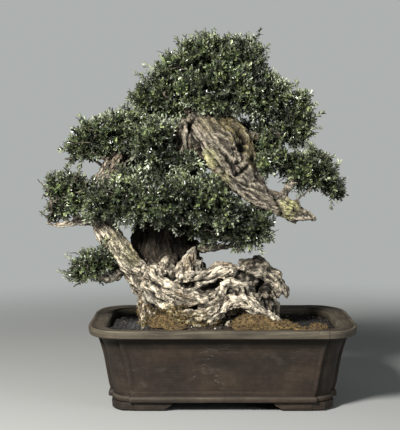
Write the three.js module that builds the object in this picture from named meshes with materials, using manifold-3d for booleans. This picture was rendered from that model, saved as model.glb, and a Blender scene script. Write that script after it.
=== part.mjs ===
// Olive bonsai: an old trunk full of deadwood, leafy pads on its branches, in an unglazed rectangular pot.
// Millimetres, +Z up, +X to the right of the front, +Y to the back.
// The origin is under the middle of the whole tree, on the surface that the feet of the pot stand on.
import * as THREE from "three";
import { mergeVertices } from "three/addons/utils/BufferGeometryUtils.js";
import Module from "manifold-3d";

const wasm = await Module();
wasm.setup();

// ---------------------------------------------------------------- driving dimensions

const GAP = 0.4; // clearance between one solid and the next

const POT = {
  halfX: 300, // rim, half its width
  halfY: 212, // rim, half its depth
  height: 185,
  footHeight: 20,
  floor: 38, // height of the inside floor
  cutX: 56, // how far each notched corner reaches along the front
  cutY: 78, // and along the side
  step: 10, // depth of the small step at both ends of a notched corner
  lobeSides: 3, // facets of the rounded lobe between the steps
  neck: 31, // inset from which the rim flares out
  rimFlare: 0.6, // how much faster the corners are notched there
};

const FOOT = {
  setBack: 52, // from the rim's edge to the foot's
  width: 30,
  gapTop: 112, // half the gap between two feet, along the front, at its top and bottom
  gapBottom: 142,
  sideGapTop: 52, // and along the side
  sideGapBottom: 82,
  shoulder: 7, // height of the small upright at the top of the gap
  sweep: 14, // how strongly the foot's edge curves
};
const DRAIN = { x: 140, radius: 15, sides: 10, screen: 48, screenThickness: 1.4, bars: 3, barWidth: 5 };

const SOIL_TOP = 166; // flat top of the soil, away from the trunk
const SOIL_MOUND = { centre: [-50, -20, SOIL_TOP - 8], radii: [170, 152, 32] };

const NET = {
  thickness: 1.2,
  pitch: 52, // of the mesh
  strand: 6,
  rows: 6,
  innerEdge: 168, // from the middle of the pot
  lift: 0.5, // clearance over the soil
  edgeRoom: 2, // clearance to the pot
};

// One leaf blade stands for a cluster of the real leaves, which are a fifth of its length.
const LEAF = { length: 58, width: 32, thickness: 3.6, rooted: 13, spacing: 51 };
const LEAF_REACH = 15; // how far the leaf tips stand out of the middle of their clump
const LEAF_RISE = [0.42, 0.86]; // least and most angle between a blade and the surface it grows from
const CLUMP_RELIEF = 0.07; // unevenness of a clump, as a share of its radius
const CORE_CLEARANCE = 6; // from the core of one pad to the middle of the leaf tips of another

const material = (color, roughness) => new THREE.MeshStandardMaterial({ color, roughness, metalness: 0 });
const CLAY = material(0x5d534a, 0.62);
const SOIL = material(0x2c221a, 0.95);
const MOSS = material(0x8a6a2e, 0.98);
const NETTING = material(0x1d2023, 0.5);
const WOOD = material(0xa8987c, 0.85);
const LEAVES = material(0x3c5a33, 0.45);

// ---------------------------------------------------------------- solids

// A closed three.js geometry as a solid that can be joined and cut.
function solidOf(geometry) {
  const bare = new THREE.BufferGeometry().setAttribute("position", geometry.getAttribute("position"));
  bare.setIndex(geometry.getIndex());
  const merged = mergeVertices(bare, 1e-4);
  return new wasm.Manifold(
    new wasm.Mesh({
      numProp: 3,
      vertProperties: merged.getAttribute("position").array,
      triVerts: new Uint32Array(merged.getIndex().array),
    }),
  );
}

function geometryOf(solid) {
  const mesh = solid.getMesh();
  return new THREE.BufferGeometry()
    .setAttribute("position", new THREE.BufferAttribute(new Float32Array(mesh.vertProperties), 3))
    .setIndex(new THREE.BufferAttribute(new Uint32Array(mesh.triVerts), 1));
}

const unite = (solids) => wasm.Manifold.union(solids);
const largestBody = (solid) => solid.decompose().reduce((a, b) => (a.volume() > b.volume() ? a : b));

function box(sizeX, sizeY, sizeZ, x, y, z) {
  return solidOf(new THREE.BoxGeometry(sizeX, sizeY, sizeZ).translate(x, y, z));
}

// A smooth unevenness between -1 and 1 that depends only on where it is asked for.
function unevenness(a, b, seed) {
  return 0.6 * Math.sin(3 * a + 7 * b + seed) + 0.4 * Math.sin(5 * a - 11 * b + 2 * seed);
}

// ---------------------------------------------------------------- pot

// The plan of the pot, drawn in by an inset: a rectangle whose corners are
// rounded lobes between two small steps.
function potPlan(inset) {
  const { halfX, halfY, cutY, step, lobeSides } = POT;
  const x = halfX - inset;
  const y = halfY - inset;
  const cutX = POT.cutX + POT.rimFlare * Math.max(0, POT.neck - inset);
  const lobe = Array.from({ length: lobeSides + 1 }, (_, k) => {
    const turn = (Math.PI / 2) * (k / lobeSides);
    const [across, back] = [(cutX - step) * Math.cos(turn), (cutY - step) * Math.sin(turn)];
    return [x - cutX + across, y - cutY + back];
  });
  const corner = [[x, y - cutY], ...lobe, [x - cutX, y]];
  const quarters = [
    [1, 1],
    [-1, 1],
    [-1, -1],
    [1, -1],
  ];
  return quarters.flatMap(([sx, sy], quarter) => {
    const points = corner.map(([px, py]) => new THREE.Vector2(sx * px, sy * py));
    return quarter % 2 ? points.reverse() : points;
  });
}

// A closed solid through stacked plans, each [inset, z], with flat ends on the first and the last.
function plansSolid(levels) {
  const count = potPlan(0).length;
  const [first, last] = [levels[0], levels[levels.length - 1]];
  const vertices = levels.flatMap(([inset, z]) => potPlan(inset).flatMap((p) => [p.x, p.y, z]));
  vertices.push(0, 0, first[1], 0, 0, last[1]);
  const bottom = levels.length * count;
  const top = bottom + 1;
  const faces = [];
  for (let i = 0; i < count; i++) {
    const next = (i + 1) % count;
    faces.push(bottom, next, i);
    for (let level = 0; level < levels.length - 1; level++) {
      const [low, high] = [level * count, (level + 1) * count];
      faces.push(low + i, low + next, high + next, low + i, high + next, high + i);
    }
    faces.push(top, bottom - count + i, bottom - count + next);
  }
  const geometry = new THREE.BufferGeometry();
  geometry.setAttribute("position", new THREE.Float32BufferAttribute(vertices, 3));
  return solidOf(geometry.setIndex(faces));
}

// The arched gap between two feet, as a prism along Y that starts below them.
function footGap(top, bottom, length) {
  const below = -5;
  const { shoulder, sweep } = FOOT;
  const z = POT.footHeight;
  const [bendTop, bendBottom] = [z - 12, 2];
  const shape = new THREE.Shape();
  shape.moveTo(-bottom, below);
  shape.lineTo(-bottom, 0);
  shape.bezierCurveTo(-bottom + sweep, bendBottom, -top - sweep, bendTop, -top - 2, z - shoulder);
  shape.lineTo(-top, z);
  shape.lineTo(top, z);
  shape.lineTo(top + 2, z - shoulder);
  shape.bezierCurveTo(top + sweep, bendTop, bottom - sweep, bendBottom, bottom, 0);
  shape.lineTo(bottom, below);
  const prism = new THREE.ExtrudeGeometry(shape, { depth: length, bevelEnabled: false, curveSegments: 3 });
  return prism.rotateX(Math.PI / 2).translate(0, length / 2, 0);
}

const INSIDE_WALL = [
  [64, POT.floor],
  [60, POT.floor + 8],
  [51, 130],
  [44, 181],
]; // inset and height of the inside wall, from the floor up

function makePot() {
  const { height, footHeight } = POT;
  const outside = [
    [47, footHeight],
    [43, footHeight + 3],
    [42.5, footHeight + 12],
    [47, footHeight + 16],
    [36.5, 112],
    [30, 145],
    [23, 162],
    [14, 168],
    [4, 171],
    [0, 175],
    [0, height - 4],
    [4, height],
    [40, height],
  ];
  const body = plansSolid([...outside, ...INSIDE_WALL.toReversed()]);
  const frame = plansSolid([
    [FOOT.setBack + 5, 0],
    [FOOT.setBack, 4],
    [FOOT.setBack - 1, footHeight + 4],
  ]);
  const frameHole = plansSolid([
    [FOOT.setBack + FOOT.width, -5],
    [FOOT.setBack + FOOT.width, footHeight + 10],
  ]);
  const across = 2 * POT.halfX;
  const feet = frame
    .subtract(frameHole)
    .subtract(solidOf(footGap(FOOT.gapTop, FOOT.gapBottom, across)))
    .subtract(solidOf(footGap(FOOT.sideGapTop, FOOT.sideGapBottom, across).rotateZ(Math.PI / 2)));
  const drains = [-DRAIN.x, DRAIN.x].map((x) => {
    const drill = new THREE.CylinderGeometry(DRAIN.radius, DRAIN.radius, 2 * POT.floor, DRAIN.sides);
    return solidOf(drill.rotateX(Math.PI / 2).translate(x, 0, POT.floor / 2));
  });
  return body.add(feet).subtract(unite(drains));
}

// A square of drainage mesh that lies on the floor over a drain hole.
function makeScreen(x) {
  const { screen, screenThickness, bars, barWidth } = DRAIN;
  const z = POT.floor + GAP + screenThickness / 2;
  const pitch = (screen - barWidth) / (bars - 1);
  const offsets = Array.from({ length: bars }, (_, i) => (i - (bars - 1) / 2) * pitch);
  const strips = offsets.flatMap((offset) => [
    box(barWidth, screen, screenThickness, x + offset, 0, z),
    box(screen, barWidth, screenThickness, x, offset, z),
  ]);
  return unite(strips);
}

// ---------------------------------------------------------------- wood

// A limb is a capped cylinder bent along a smooth line through its stations, each [x, y, z, radius].
function limb({ stations, sides = 7, rough = 0.13, seed }, grow = 0) {
  const line = new THREE.CatmullRomCurve3(
    stations.map(([x, y, z]) => new THREE.Vector3(x, y, z)),
    false,
    "centripetal",
  );
  const rings = stations.length - 1;
  const frames = line.computeFrenetFrames(rings);
  const radiusAt = (u) => {
    const at = line.getUtoTmapping(u) * rings;
    const from = Math.min(Math.floor(at), stations.length - 2);
    return THREE.MathUtils.lerp(stations[from][3], stations[from + 1][3], at - from);
  };
  const geometry = new THREE.CylinderGeometry(1, 1, 1, sides, rings);
  const position = geometry.getAttribute("position");
  for (let i = 0; i < position.count; i++) {
    const ring = Math.round((0.5 - position.getY(i)) * rings);
    const [across, up] = [position.getX(i), position.getZ(i)];
    const angle = Math.atan2(up, across);
    const reach = radiusAt(ring / rings) * (1 + rough * unevenness(angle, ring * 0.9, seed)) + grow;
    const beyond = ring === 0 ? -grow : ring === rings ? grow : 0;
    const point = line
      .getPointAt(ring / rings)
      .addScaledVector(frames.normals[ring], across * reach)
      .addScaledVector(frames.binormals[ring], up * reach)
      .addScaledVector(frames.tangents[ring], beyond);
    position.setXYZ(i, point.x, point.y, point.z);
  }
  return solidOf(geometry);
}

// The root mass: a lying heart of wood, and the roots that run over it and down into the soil.
const ROOTS = [
  {
    sides: 10, rough: 0.12, seed: 3,
    stations: [
      [-36, -8, 112, 84], [-38, -10, 172, 100], [-36, -8, 226, 72],
    ],
  },
  {
    sides: 11, rough: 0.14, seed: 1,
    stations: [
      [-160, -26, 236, 38], [-100, -26, 234, 58], [-26, -22, 232, 62], [46, -18, 244, 60],
      [96, -14, 258, 46],
    ],
  },
  {
    rough: 0.2, seed: 5,
    stations: [
      [-140, -34, 282, 38], [-158, -42, 230, 34], [-156, -50, 184, 36], [-150, -50, 150, 30],
    ],
  },
  {
    rough: 0.22, seed: 2,
    stations: [
      [-170, -66, 276, 18], [-126, -84, 226, 22], [-88, -92, 202, 22], [-36, -96, 196, 22],
      [-4, -92, 216, 18],
    ],
  },
  {
    rough: 0.2, seed: 7,
    stations: [
      [-166, -60, 300, 20], [-124, -78, 260, 22], [-88, -84, 240, 20], [-50, -86, 234, 19],
      [-20, -88, 216, 14],
    ],
  },
  {
    rough: 0.2, seed: 4,
    stations: [
      [-30, -96, 184, 18], [-10, -94, 220, 18], [22, -92, 240, 17], [46, -92, 240, 17],
      [72, -96, 218, 16], [106, -102, 196, 14], [128, -104, 172, 12],
    ],
  },
  {
    rough: 0.2, seed: 6,
    stations: [
      [-18, -80, 216, 15], [-14, -80, 250, 15], [12, -78, 270, 14], [40, -76, 264, 14],
      [64, -76, 238, 12],
    ],
  },
  {
    sides: 9, rough: 0.24, seed: 8,
    stations: [
      [46, -12, 282, 34], [82, -16, 288, 36], [112, -16, 266, 32], [122, -12, 240, 24],
    ],
  },
  { rough: 0.2, seed: 11, stations: [[86, -20, 240, 40], [100, -24, 200, 30], [108, -26, 160, 24]] },
  { rough: 0.2, seed: 12, stations: [[-44, 52, 238, 44], [-34, 92, 190, 40], [-22, 108, 150, 28]] },
  { rough: 0.2, seed: 9, stations: [[58, 34, 240, 46], [92, 66, 192, 36], [112, 84, 150, 24]] },
  { rough: 0.2, seed: 10, stations: [[-112, 44, 240, 44], [-138, 74, 190, 34], [-152, 92, 150, 24]] },
];

// Broken stubs and ridges on top of the root mass.
const DEADWOOD = [
  {
    sides: 7, rough: 0.25, seed: 2,
    stations: [
      [-120, -30, 272, 30], [-128, -34, 304, 18], [-132, -36, 328, 6],
    ],
  },
  {
    sides: 7, rough: 0.2, seed: 4,
    stations: [
      [-92, -30, 268, 34], [-78, -34, 306, 24], [-68, -38, 336, 11], [-64, -40, 354, 5],
    ],
  },
  {
    sides: 6, rough: 0.2, seed: 9,
    stations: [
      [-62, -30, 276, 22], [-50, -36, 306, 11], [-45, -38, 326, 4],
    ],
  },
  {
    sides: 7, rough: 0.22, seed: 5,
    stations: [
      [-106, -66, 276, 14], [-64, -72, 282, 17], [-20, -68, 288, 18], [16, -54, 300, 17],
      [38, -42, 304, 10],
    ],
  },
  { sides: 7, rough: 0.2, seed: 6, stations: [[-30, -36, 284, 20], [0, -44, 300, 20], [26, -46, 306, 14]] },
  {
    sides: 6, rough: 0.2, seed: 3,
    stations: [
      [88, -26, 290, 24], [100, -30, 308, 12], [106, -32, 318, 5],
    ],
  },
  {
    sides: 6, rough: 0.2, seed: 8,
    stations: [
      [112, -26, 262, 24], [136, -30, 252, 13], [148, -32, 244, 6],
    ],
  },
  { sides: 6, rough: 0.2, seed: 12, stations: [[56, -34, 292, 22], [62, -40, 312, 12], [66, -42, 322, 5]] },
];

// The trunk that rises at the back, bends over and runs down to the right into a dead end.
const TRUNK = [
  {
    sides: 10, rough: 0.12, seed: 2,
    stations: [
      [-92, 26, 226, 72], [-132, 44, 300, 78], [-140, 46, 366, 74], [-124, 38, 436, 58],
      [-102, 26, 506, 52], [-84, 6, 566, 52], [-58, -14, 618, 48],
    ],
  },
  {
    sides: 11, rough: 0.16, seed: 6,
    stations: [
      [-62, 0, 632, 42], [-24, -30, 602, 54], [8, -46, 558, 52], [38, -56, 512, 42],
      [68, -62, 478, 32], [100, -66, 456, 26], [136, -68, 444, 22], [168, -68, 434, 19],
      [192, -68, 425, 11], [210, -66, 416, 4],
    ],
  },
  {
    sides: 8, rough: 0.2, seed: 9,
    stations: [
      [-78, -30, 548, 20], [-91, -52, 588, 21], [-89, -56, 618, 17], [-84, -56, 642, 6],
    ],
  },
  {
    sides: 8, rough: 0.2, seed: 3,
    stations: [
      [-46, -6, 652, 22], [-4, -18, 642, 22], [34, -32, 614, 20], [58, -38, 588, 20],
      [66, -44, 556, 17], [58, -48, 524, 12],
    ],
  },
  {
    sides: 7, rough: 0.2, seed: 4,
    stations: [
      [150, -66, 436, 20], [166, -70, 450, 11], [172, -72, 460, 5],
    ],
  },
  {
    sides: 7, rough: 0.2, seed: 7,
    stations: [
      [146, -66, 434, 18], [160, -68, 416, 10], [166, -70, 406, 4],
    ],
  },
];

// The arm that leans out to the left and carries the left pads.
const ARM = [
  {
    sides: 9, rough: 0.14, seed: 5,
    stations: [
      [-148, -28, 250, 38], [-182, -34, 280, 32], [-206, -36, 306, 29], [-228, -38, 340, 29],
      [-250, -38, 368, 27], [-270, -34, 398, 25], [-283, -26, 442, 24], [-272, -12, 494, 23],
      [-252, -4, 540, 20], [-226, 0, 582, 15], [-196, 2, 612, 10],
    ],
  },
];

// Branches from the trunk and arm into the pads of leaves.
const BRANCHES = [
  { stations: [[-55, -8, 640, 26], [-40, 4, 690, 18], [-18, 8, 745, 10], [-12, 6, 790, 4]] },
  { stations: [[-70, 0, 640, 18], [-112, 4, 680, 12], [-152, 2, 706, 5]] },
  { stations: [[-10, -12, 650, 18], [46, 0, 686, 12], [104, -4, 704, 6], [140, -8, 700, 3]] },
  { stations: [[50, -32, 602, 14], [98, -20, 604, 11], [146, -8, 606, 8], [182, -6, 604, 4]] },
  { stations: [[126, -62, 452, 11], [144, -54, 482, 9], [172, -40, 508, 7], [214, -28, 524, 4]] },
  { stations: [[-252, -6, 548, 12], [-290, -12, 566, 8], [-330, -14, 570, 4]] },
  { stations: [[-100, 0, 520, 16], [-122, -36, 548, 10], [-146, -60, 564, 5]] },
  {
    stations: [
      [-268, -32, 418, 13], [-306, -34, 410, 10], [-350, -36, 404, 8], [-384, -38, 402, 6],
      [-404, -38, 406, 2.5],
    ],
  },
  {
    stations: [
      [-200, -36, 318, 13], [-226, -40, 294, 10], [-252, -44, 284, 8], [-284, -46, 284, 5],
      [-306, -46, 290, 3],
    ],
  },
  { stations: [[-120, -4, 412, 18], [-112, -50, 436, 12], [-92, -86, 450, 6]] },
  { stations: [[-150, 0, 420, 14], [-172, -50, 440, 10], [-196, -82, 446, 5]] },
  { stations: [[-274, -34, 424, 10], [-268, -54, 440, 7], [-258, -64, 450, 4]] },
  { stations: [[-82, 14, 352, 15], [-32, -14, 347, 11], [14, -32, 352, 9], [52, -46, 368, 5]] },
  { stations: [[-86, -4, 404, 15], [-44, -46, 412, 10], [-12, -72, 422, 5]] },
  { stations: [[-100, 60, 440, 16], [-112, 96, 456, 10], [-134, 116, 466, 5]] },
  { stations: [[-70, 30, 560, 16], [-24, 62, 566, 10], [26, 84, 566, 5]] },
  { stations: [[-256, 2, 540, 12], [-248, 36, 572, 9], [-234, 64, 596, 5]] },
  { stations: [[-50, -4, 660, 14], [-38, 40, 694, 9], [-26, 74, 714, 5]] },
  { stations: [[-318, -34, 408, 8], [-338, -34, 428, 6], [-350, -34, 452, 4]] },
  { stations: [[-96, 50, 366, 14], [-52, 84, 384, 9], [-12, 96, 398, 4]] },
].map((branch, index) => ({ sides: 5, rough: 0.12, seed: index, ...branch }));

const LIMBS = [...ROOTS, ...DEADWOOD, ...TRUNK, ...ARM, ...BRANCHES];

// A lens-shaped cutter for a hollow in the wood: centre, half sizes and its tilt about Y in degrees.
function hollow([x, y, z], [a, b, c], tilt) {
  const lens = new THREE.SphereGeometry(1, 10, 6).scale(a, b, c);
  return solidOf(lens.rotateY(THREE.MathUtils.degToRad(tilt)).translate(x, y, z));
}

function makeWood() {
  const hollows = [
    hollow([-52, -104, 262], [42, 34, 11], -6), // the long dark hollow in the front of the root mass
    hollow([84, -70, 262], [13, 30, 20], 20), // a rotted pocket at the right end of the root mass
    hollow([46, -82, 578], [6, 26, 9], 10), // the knot hole high on the trunk
  ];
  return largestBody(unite(LIMBS.map((one) => limb(one))).subtract(unite(hollows)));
}

const makeWoodRoom = () => unite(LIMBS.map((one) => limb(one, GAP)));

// ---------------------------------------------------------------- soil, moss and netting

function ellipsoid([x, y, z], [a, b, c], { grow = 0, relief = 0, seed = 0, detail = 1 } = {}) {
  const ball = new THREE.IcosahedronGeometry(1, detail);
  const position = ball.getAttribute("position");
  for (let i = 0; i < position.count; i++) {
    const [px, py, pz] = [position.getX(i), position.getY(i), position.getZ(i)];
    const swell = 1 + relief * unevenness(2 * px + pz, py - pz, seed);
    position.setXYZ(i, x + px * (a * swell + grow), y + py * (b * swell + grow), z + pz * (c * swell + grow));
  }
  return solidOf(ball);
}

// The room inside the pot, a clearance away from its wall and floor, and on up past the rim.
function potRoom(clearance) {
  const levels = INSIDE_WALL.map(([inset, z]) => [inset + clearance, z]);
  levels[0][1] += clearance;
  return plansSolid([...levels, [levels[levels.length - 1][0], 2 * POT.height]]);
}

// A slab wider than the pot, from one height to another.
const slab = (from, to) => box(2 * POT.halfX, 2 * POT.halfX, to - from, 0, 0, (from + to) / 2);

// The soil: the inside of the pot filled to its flat top, with a low mound round the trunk.
function soilForm(grow = 0) {
  const fill = potRoom(GAP).intersect(slab(0, SOIL_TOP + grow));
  const mound = ellipsoid(SOIL_MOUND.centre, SOIL_MOUND.radii, { grow, detail: 2 });
  return fill.add(mound.intersect(potRoom(GAP)).intersect(slab(SOIL_TOP - 20, POT.height + 20)));
}

function makeSoil(woodRoom) {
  const { screen, screenThickness } = DRAIN;
  const pockets = [-DRAIN.x, DRAIN.x].map((x) =>
    box(screen + 2 * GAP, screen + 2 * GAP, 2 * (screenThickness + 2 * GAP), x, 0, POT.floor),
  );
  return largestBody(soilForm().subtract(woodRoom).subtract(unite(pockets)));
}

// Heaps of dry moss against the roots, as [centre, half sizes] of the lumps in each.
const MOSS_HEAPS = {
  moss_right: [
    [[70, -104, 176], [58, 44, 34]],
    [[112, -112, 172], [66, 42, 26]],
    [[168, -120, 168], [62, 34, 14]],
  ],
  moss_left: [
    [[-128, -92, 182], [40, 30, 26]],
    [[-100, -118, 172], [34, 24, 16]],
  ],
  moss_corner: [
    [[218, -60, 168], [24, 52, 9]],
    [[208, -100, 168], [26, 24, 8]],
  ],
};

function mossLumps(lumps, grow = 0) {
  const relief = 0.1;
  return unite(lumps.map(([centre, radii], seed) => ellipsoid(centre, radii, { grow, relief, seed })));
}

function makeMoss(lumps, others) {
  const heap = mossLumps(lumps);
  const above = potRoom(GAP).intersect(slab(SOIL_TOP + GAP, 2 * POT.height));
  return largestBody(heap.intersect(above).subtract(unite(others)));
}

// A sheet of square-meshed plastic net on the soil at one side of the trunk.
function makeNet(side, others) {
  const { thickness, pitch, strand, rows, innerEdge, lift, edgeRoom } = NET;
  const z = SOIL_TOP + lift + thickness / 2;
  const outer = POT.halfX - INSIDE_WALL[2][0];
  const [middle, width] = [(side * (outer + innerEdge)) / 2, outer - innerEdge + strand];
  const strands = [];
  for (let x = innerEdge; x <= outer; x += pitch) {
    strands.push(box(strand, 2 * POT.halfY, thickness, side * x, 0, z));
  }
  for (let row = 0; row < rows; row++) {
    strands.push(box(width, strand, thickness, middle, (row - (rows - 1) / 2) * pitch, z));
  }
  return largestBody(unite(strands).intersect(potRoom(edgeRoom)).subtract(unite(others)));
}

// ---------------------------------------------------------------- leaves

// Pads of leaves, each a few clumps: [centre, half sizes] out to the leaf tips.
// Later pads make room for earlier ones.
const PADS = {
  leaves_middle: [
    [[-186, -90, 454], [82, 62, 66]],
    [[-92, -96, 458], [88, 62, 68]],
    [[-262, -64, 452], [68, 58, 62]],
    [[-16, -92, 444], [72, 56, 60]],
    [[-26, -84, 486], [54, 46, 48]],
  ],
  leaves_lower_right: [
    [[52, -68, 396], [80, 62, 62]],
    [[-22, -46, 388], [68, 50, 48]],
  ],
  leaves_far_left: [
    [[-342, -34, 484], [62, 54, 46]],
    [[-346, -34, 440], [54, 44, 38]],
  ],
  leaves_upper_left: [
    [[-222, -12, 612], [84, 68, 62]],
    [[-296, -14, 594], [66, 58, 52]],
    [[-146, -58, 588], [78, 60, 70]],
  ],
  leaves_crown: [
    [[-44, 0, 776], [70, 72, 78]],
    [[40, 2, 768], [72, 74, 80]],
    [[-98, 0, 726], [80, 78, 70]],
    [[0, -42, 700], [106, 66, 62]],
    [[98, -6, 690], [78, 72, 66]],
    [[-160, -8, 672], [72, 68, 62]],
  ],
  leaves_right_upper: [
    [[162, -4, 624], [64, 60, 66]],
    [[108, 4, 630], [62, 54, 52]],
  ],
  leaves_right: [
    [[196, -22, 524], [76, 62, 64]],
    [[122, -24, 562], [58, 50, 48]],
    [[238, -28, 488], [40, 38, 42]],
  ],
  leaves_lower_left: [
    [[-286, -46, 308], [66, 54, 44]],
    [[-264, -48, 334], [44, 42, 38]],
  ],
  leaves_crown_back: [[[-18, 82, 716], [108, 70, 70]]],
  leaves_upper_left_back: [
    [[-214, 70, 604], [92, 62, 60]],
    [[-172, 84, 542], [98, 52, 60]],
  ],
  leaves_middle_back: [
    [[-156, 118, 466], [96, 66, 64]],
    [[-238, 90, 480], [68, 58, 58]],
  ],
  leaves_right_back: [[[56, 90, 580], [98, 68, 66]]],
  leaves_lower_back: [[[6, 100, 408], [86, 64, 52]]],
};

// True where a point lies among the leaves of a clump.
function inClump(point, [[x, y, z], [a, b, c]]) {
  const [u, v, w] = [(point.x - x) / a, (point.y - y) / b, (point.z - z) / c];
  return u * u + v * v + w * w < 1;
}

// A pointed blade, flat below and ridged above, from its root to its tip along the given direction.
function leafBlade({ root, along, up }, grow = 0) {
  const corners = [1, 0, 0, -1, 0, 0, 0, 1, 0, 0, -1, 0, 0, 0, 1];
  const faces = [0, 2, 4, 2, 1, 4, 1, 3, 4, 3, 0, 4, 0, 3, 2, 1, 2, 3];
  const blade = new THREE.PolyhedronGeometry(corners, faces, 1, 0);
  blade.scale(LEAF.length / 2 + grow, LEAF.width / 2 + grow, LEAF.thickness + 2 * grow);
  blade.translate(LEAF.length / 2, 0, -grow);
  const across = up.clone().cross(along).normalize();
  const turn = new THREE.Matrix4().makeBasis(along, across, along.clone().cross(across));
  return solidOf(blade.applyMatrix4(turn).translate(root.x, root.y, root.z));
}

// The space that a blade keeps to itself.
const leafRoom = (place) => leafBlade(place).add(leafBlade(place, GAP));

// Where leaves grow on a clump: spread by the golden angle, each leaning its own way by seeded draws.
function leafPlaces([centre, tips], draw) {
  const core = tips.map((radius) => radius - LEAF_REACH);
  const across = (core[0] + core[1] + core[2]) / 3;
  const count = Math.round((4 * Math.PI * across * across) / LEAF.spacing ** 2);
  const golden = Math.PI * (3 - Math.sqrt(5));
  const places = [];
  for (let k = 0; k < count; k++) {
    const height = 1 - (2 * k + 1) / count;
    const ring = Math.sqrt(1 - height * height);
    const out = new THREE.Vector3(ring * Math.cos(k * golden), ring * Math.sin(k * golden), height);
    const lean = new THREE.Vector3(out.x + 2 * draw() - 1, out.y + 2 * draw() - 1, 0.9);
    const rise = THREE.MathUtils.lerp(...LEAF_RISE, draw());
    const flat = lean.projectOnPlane(out).normalize();
    const along = flat.multiplyScalar(Math.cos(rise)).addScaledVector(out, Math.sin(rise));
    const surface = new THREE.Vector3(...core).multiply(out).add(new THREE.Vector3(...centre));
    const tip = surface.clone().addScaledVector(along, LEAF.length - LEAF.rooted);
    places.push({ root: surface.addScaledVector(along, -LEAF.rooted), tip, along, up: out });
  }
  return places;
}

// A pad: its clumps and their leaves, without the leaves that would touch what already stands there.
// It comes with the room that the cores of later pads leave to it.
function makePad(name, standing, room) {
  const draw = THREE.MathUtils.seededRandom;
  draw(Object.keys(PADS).indexOf(name) + 1);
  const clumps = PADS[name];
  const all = Object.values(PADS).flat();
  const cores = clumps.map(([centre, tips], seed) => {
    const radii = tips.map((radius) => radius - LEAF_REACH);
    return ellipsoid(centre, radii, { relief: CLUMP_RELIEF, seed });
  });
  const places = clumps.flatMap((clump) => {
    const others = all.filter((other) => other !== clump);
    return leafPlaces(clump, draw)
      .filter(({ tip }) => !others.some((other) => inClump(tip, other)))
      .filter((place) => leafRoom(place).intersect(standing).isEmpty());
  });
  const blades = places.map((place) => leafBlade(place));
  return {
    pad: largestBody(unite([unite(cores).subtract(room), ...blades])),
    padRoom: unite([
      ...clumps.map(([centre, tips]) => ellipsoid(centre, tips, { grow: CORE_CLEARANCE })),
      ...places.map(leafRoom),
    ]),
  };
}

// ---------------------------------------------------------------- the whole tree

const tree = new THREE.Group();

function place(name, solid, look) {
  const mesh = new THREE.Mesh(geometryOf(solid), look.clone());
  mesh.name = name;
  tree.add(mesh);
}

place("pot", makePot(), CLAY);
place("drain_screen_left", makeScreen(-DRAIN.x), NETTING);
place("drain_screen_right", makeScreen(DRAIN.x), NETTING);

const woodRoom = makeWoodRoom();
place("trunk", makeWood(), WOOD);
place("soil", makeSoil(woodRoom), SOIL);

const taken = [woodRoom, soilForm(GAP)];
for (const [name, lumps] of Object.entries(MOSS_HEAPS)) {
  place(name, makeMoss(lumps, taken), MOSS);
  taken.push(mossLumps(lumps, 2 * GAP));
}
place("net_left", makeNet(-1, taken), NETTING);
place("net_right", makeNet(1, taken), NETTING);

let standing = woodRoom;
let room = woodRoom;
for (const name of Object.keys(PADS)) {
  const { pad, padRoom } = makePad(name, standing, room);
  place(name, pad, LEAVES);
  standing = standing.add(pad);
  room = room.add(padRoom);
}

// Stand the middle of the whole box over the origin.
const middle = new THREE.Box3().setFromObject(tree).getCenter(new THREE.Vector3());
tree.position.set(-middle.x, -middle.y, 0);

export default tree;
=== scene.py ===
import math
import random
from itertools import product

import bmesh
import bpy
import numpy as np
from bpy.props import FloatProperty, FloatVectorProperty, PointerProperty
from bpy.types import NodeSocket, Operator, Panel, PropertyGroup
from mathutils import Matrix, Vector, noise
from mathutils.bvhtree import BVHTree


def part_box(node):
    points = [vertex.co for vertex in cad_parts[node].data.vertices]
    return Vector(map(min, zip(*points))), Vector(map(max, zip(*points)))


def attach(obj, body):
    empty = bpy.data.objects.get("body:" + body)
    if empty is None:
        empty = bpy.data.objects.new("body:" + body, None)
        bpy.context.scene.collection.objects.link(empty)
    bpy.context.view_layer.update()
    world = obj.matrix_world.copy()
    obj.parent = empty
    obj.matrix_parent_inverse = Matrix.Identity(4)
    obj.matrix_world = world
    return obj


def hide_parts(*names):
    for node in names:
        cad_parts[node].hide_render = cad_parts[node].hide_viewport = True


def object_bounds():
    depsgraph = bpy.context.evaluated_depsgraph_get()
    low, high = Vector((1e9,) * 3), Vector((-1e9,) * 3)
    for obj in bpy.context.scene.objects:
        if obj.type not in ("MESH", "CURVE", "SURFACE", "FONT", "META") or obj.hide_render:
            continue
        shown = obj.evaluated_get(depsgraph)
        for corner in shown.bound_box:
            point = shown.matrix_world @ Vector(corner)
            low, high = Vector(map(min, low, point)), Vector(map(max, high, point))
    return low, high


bl_info = {
    "name": "Olive Bonsai",
    "version": (1, 0, 0),
    "blender": (4, 5, 0),
    "location": "View3D > Sidebar > Bonsai",
    "description": "An old olive bonsai full of deadwood, its pads of small leaves and its unglazed pot",
    "category": "Add Mesh",
}

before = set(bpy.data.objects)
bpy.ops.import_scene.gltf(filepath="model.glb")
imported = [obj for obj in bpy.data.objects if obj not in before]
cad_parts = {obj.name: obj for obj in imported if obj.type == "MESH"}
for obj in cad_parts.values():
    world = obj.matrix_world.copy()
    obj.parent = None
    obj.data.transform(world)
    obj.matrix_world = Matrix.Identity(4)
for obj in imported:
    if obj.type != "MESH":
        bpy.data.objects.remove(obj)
CAD_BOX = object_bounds()

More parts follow.
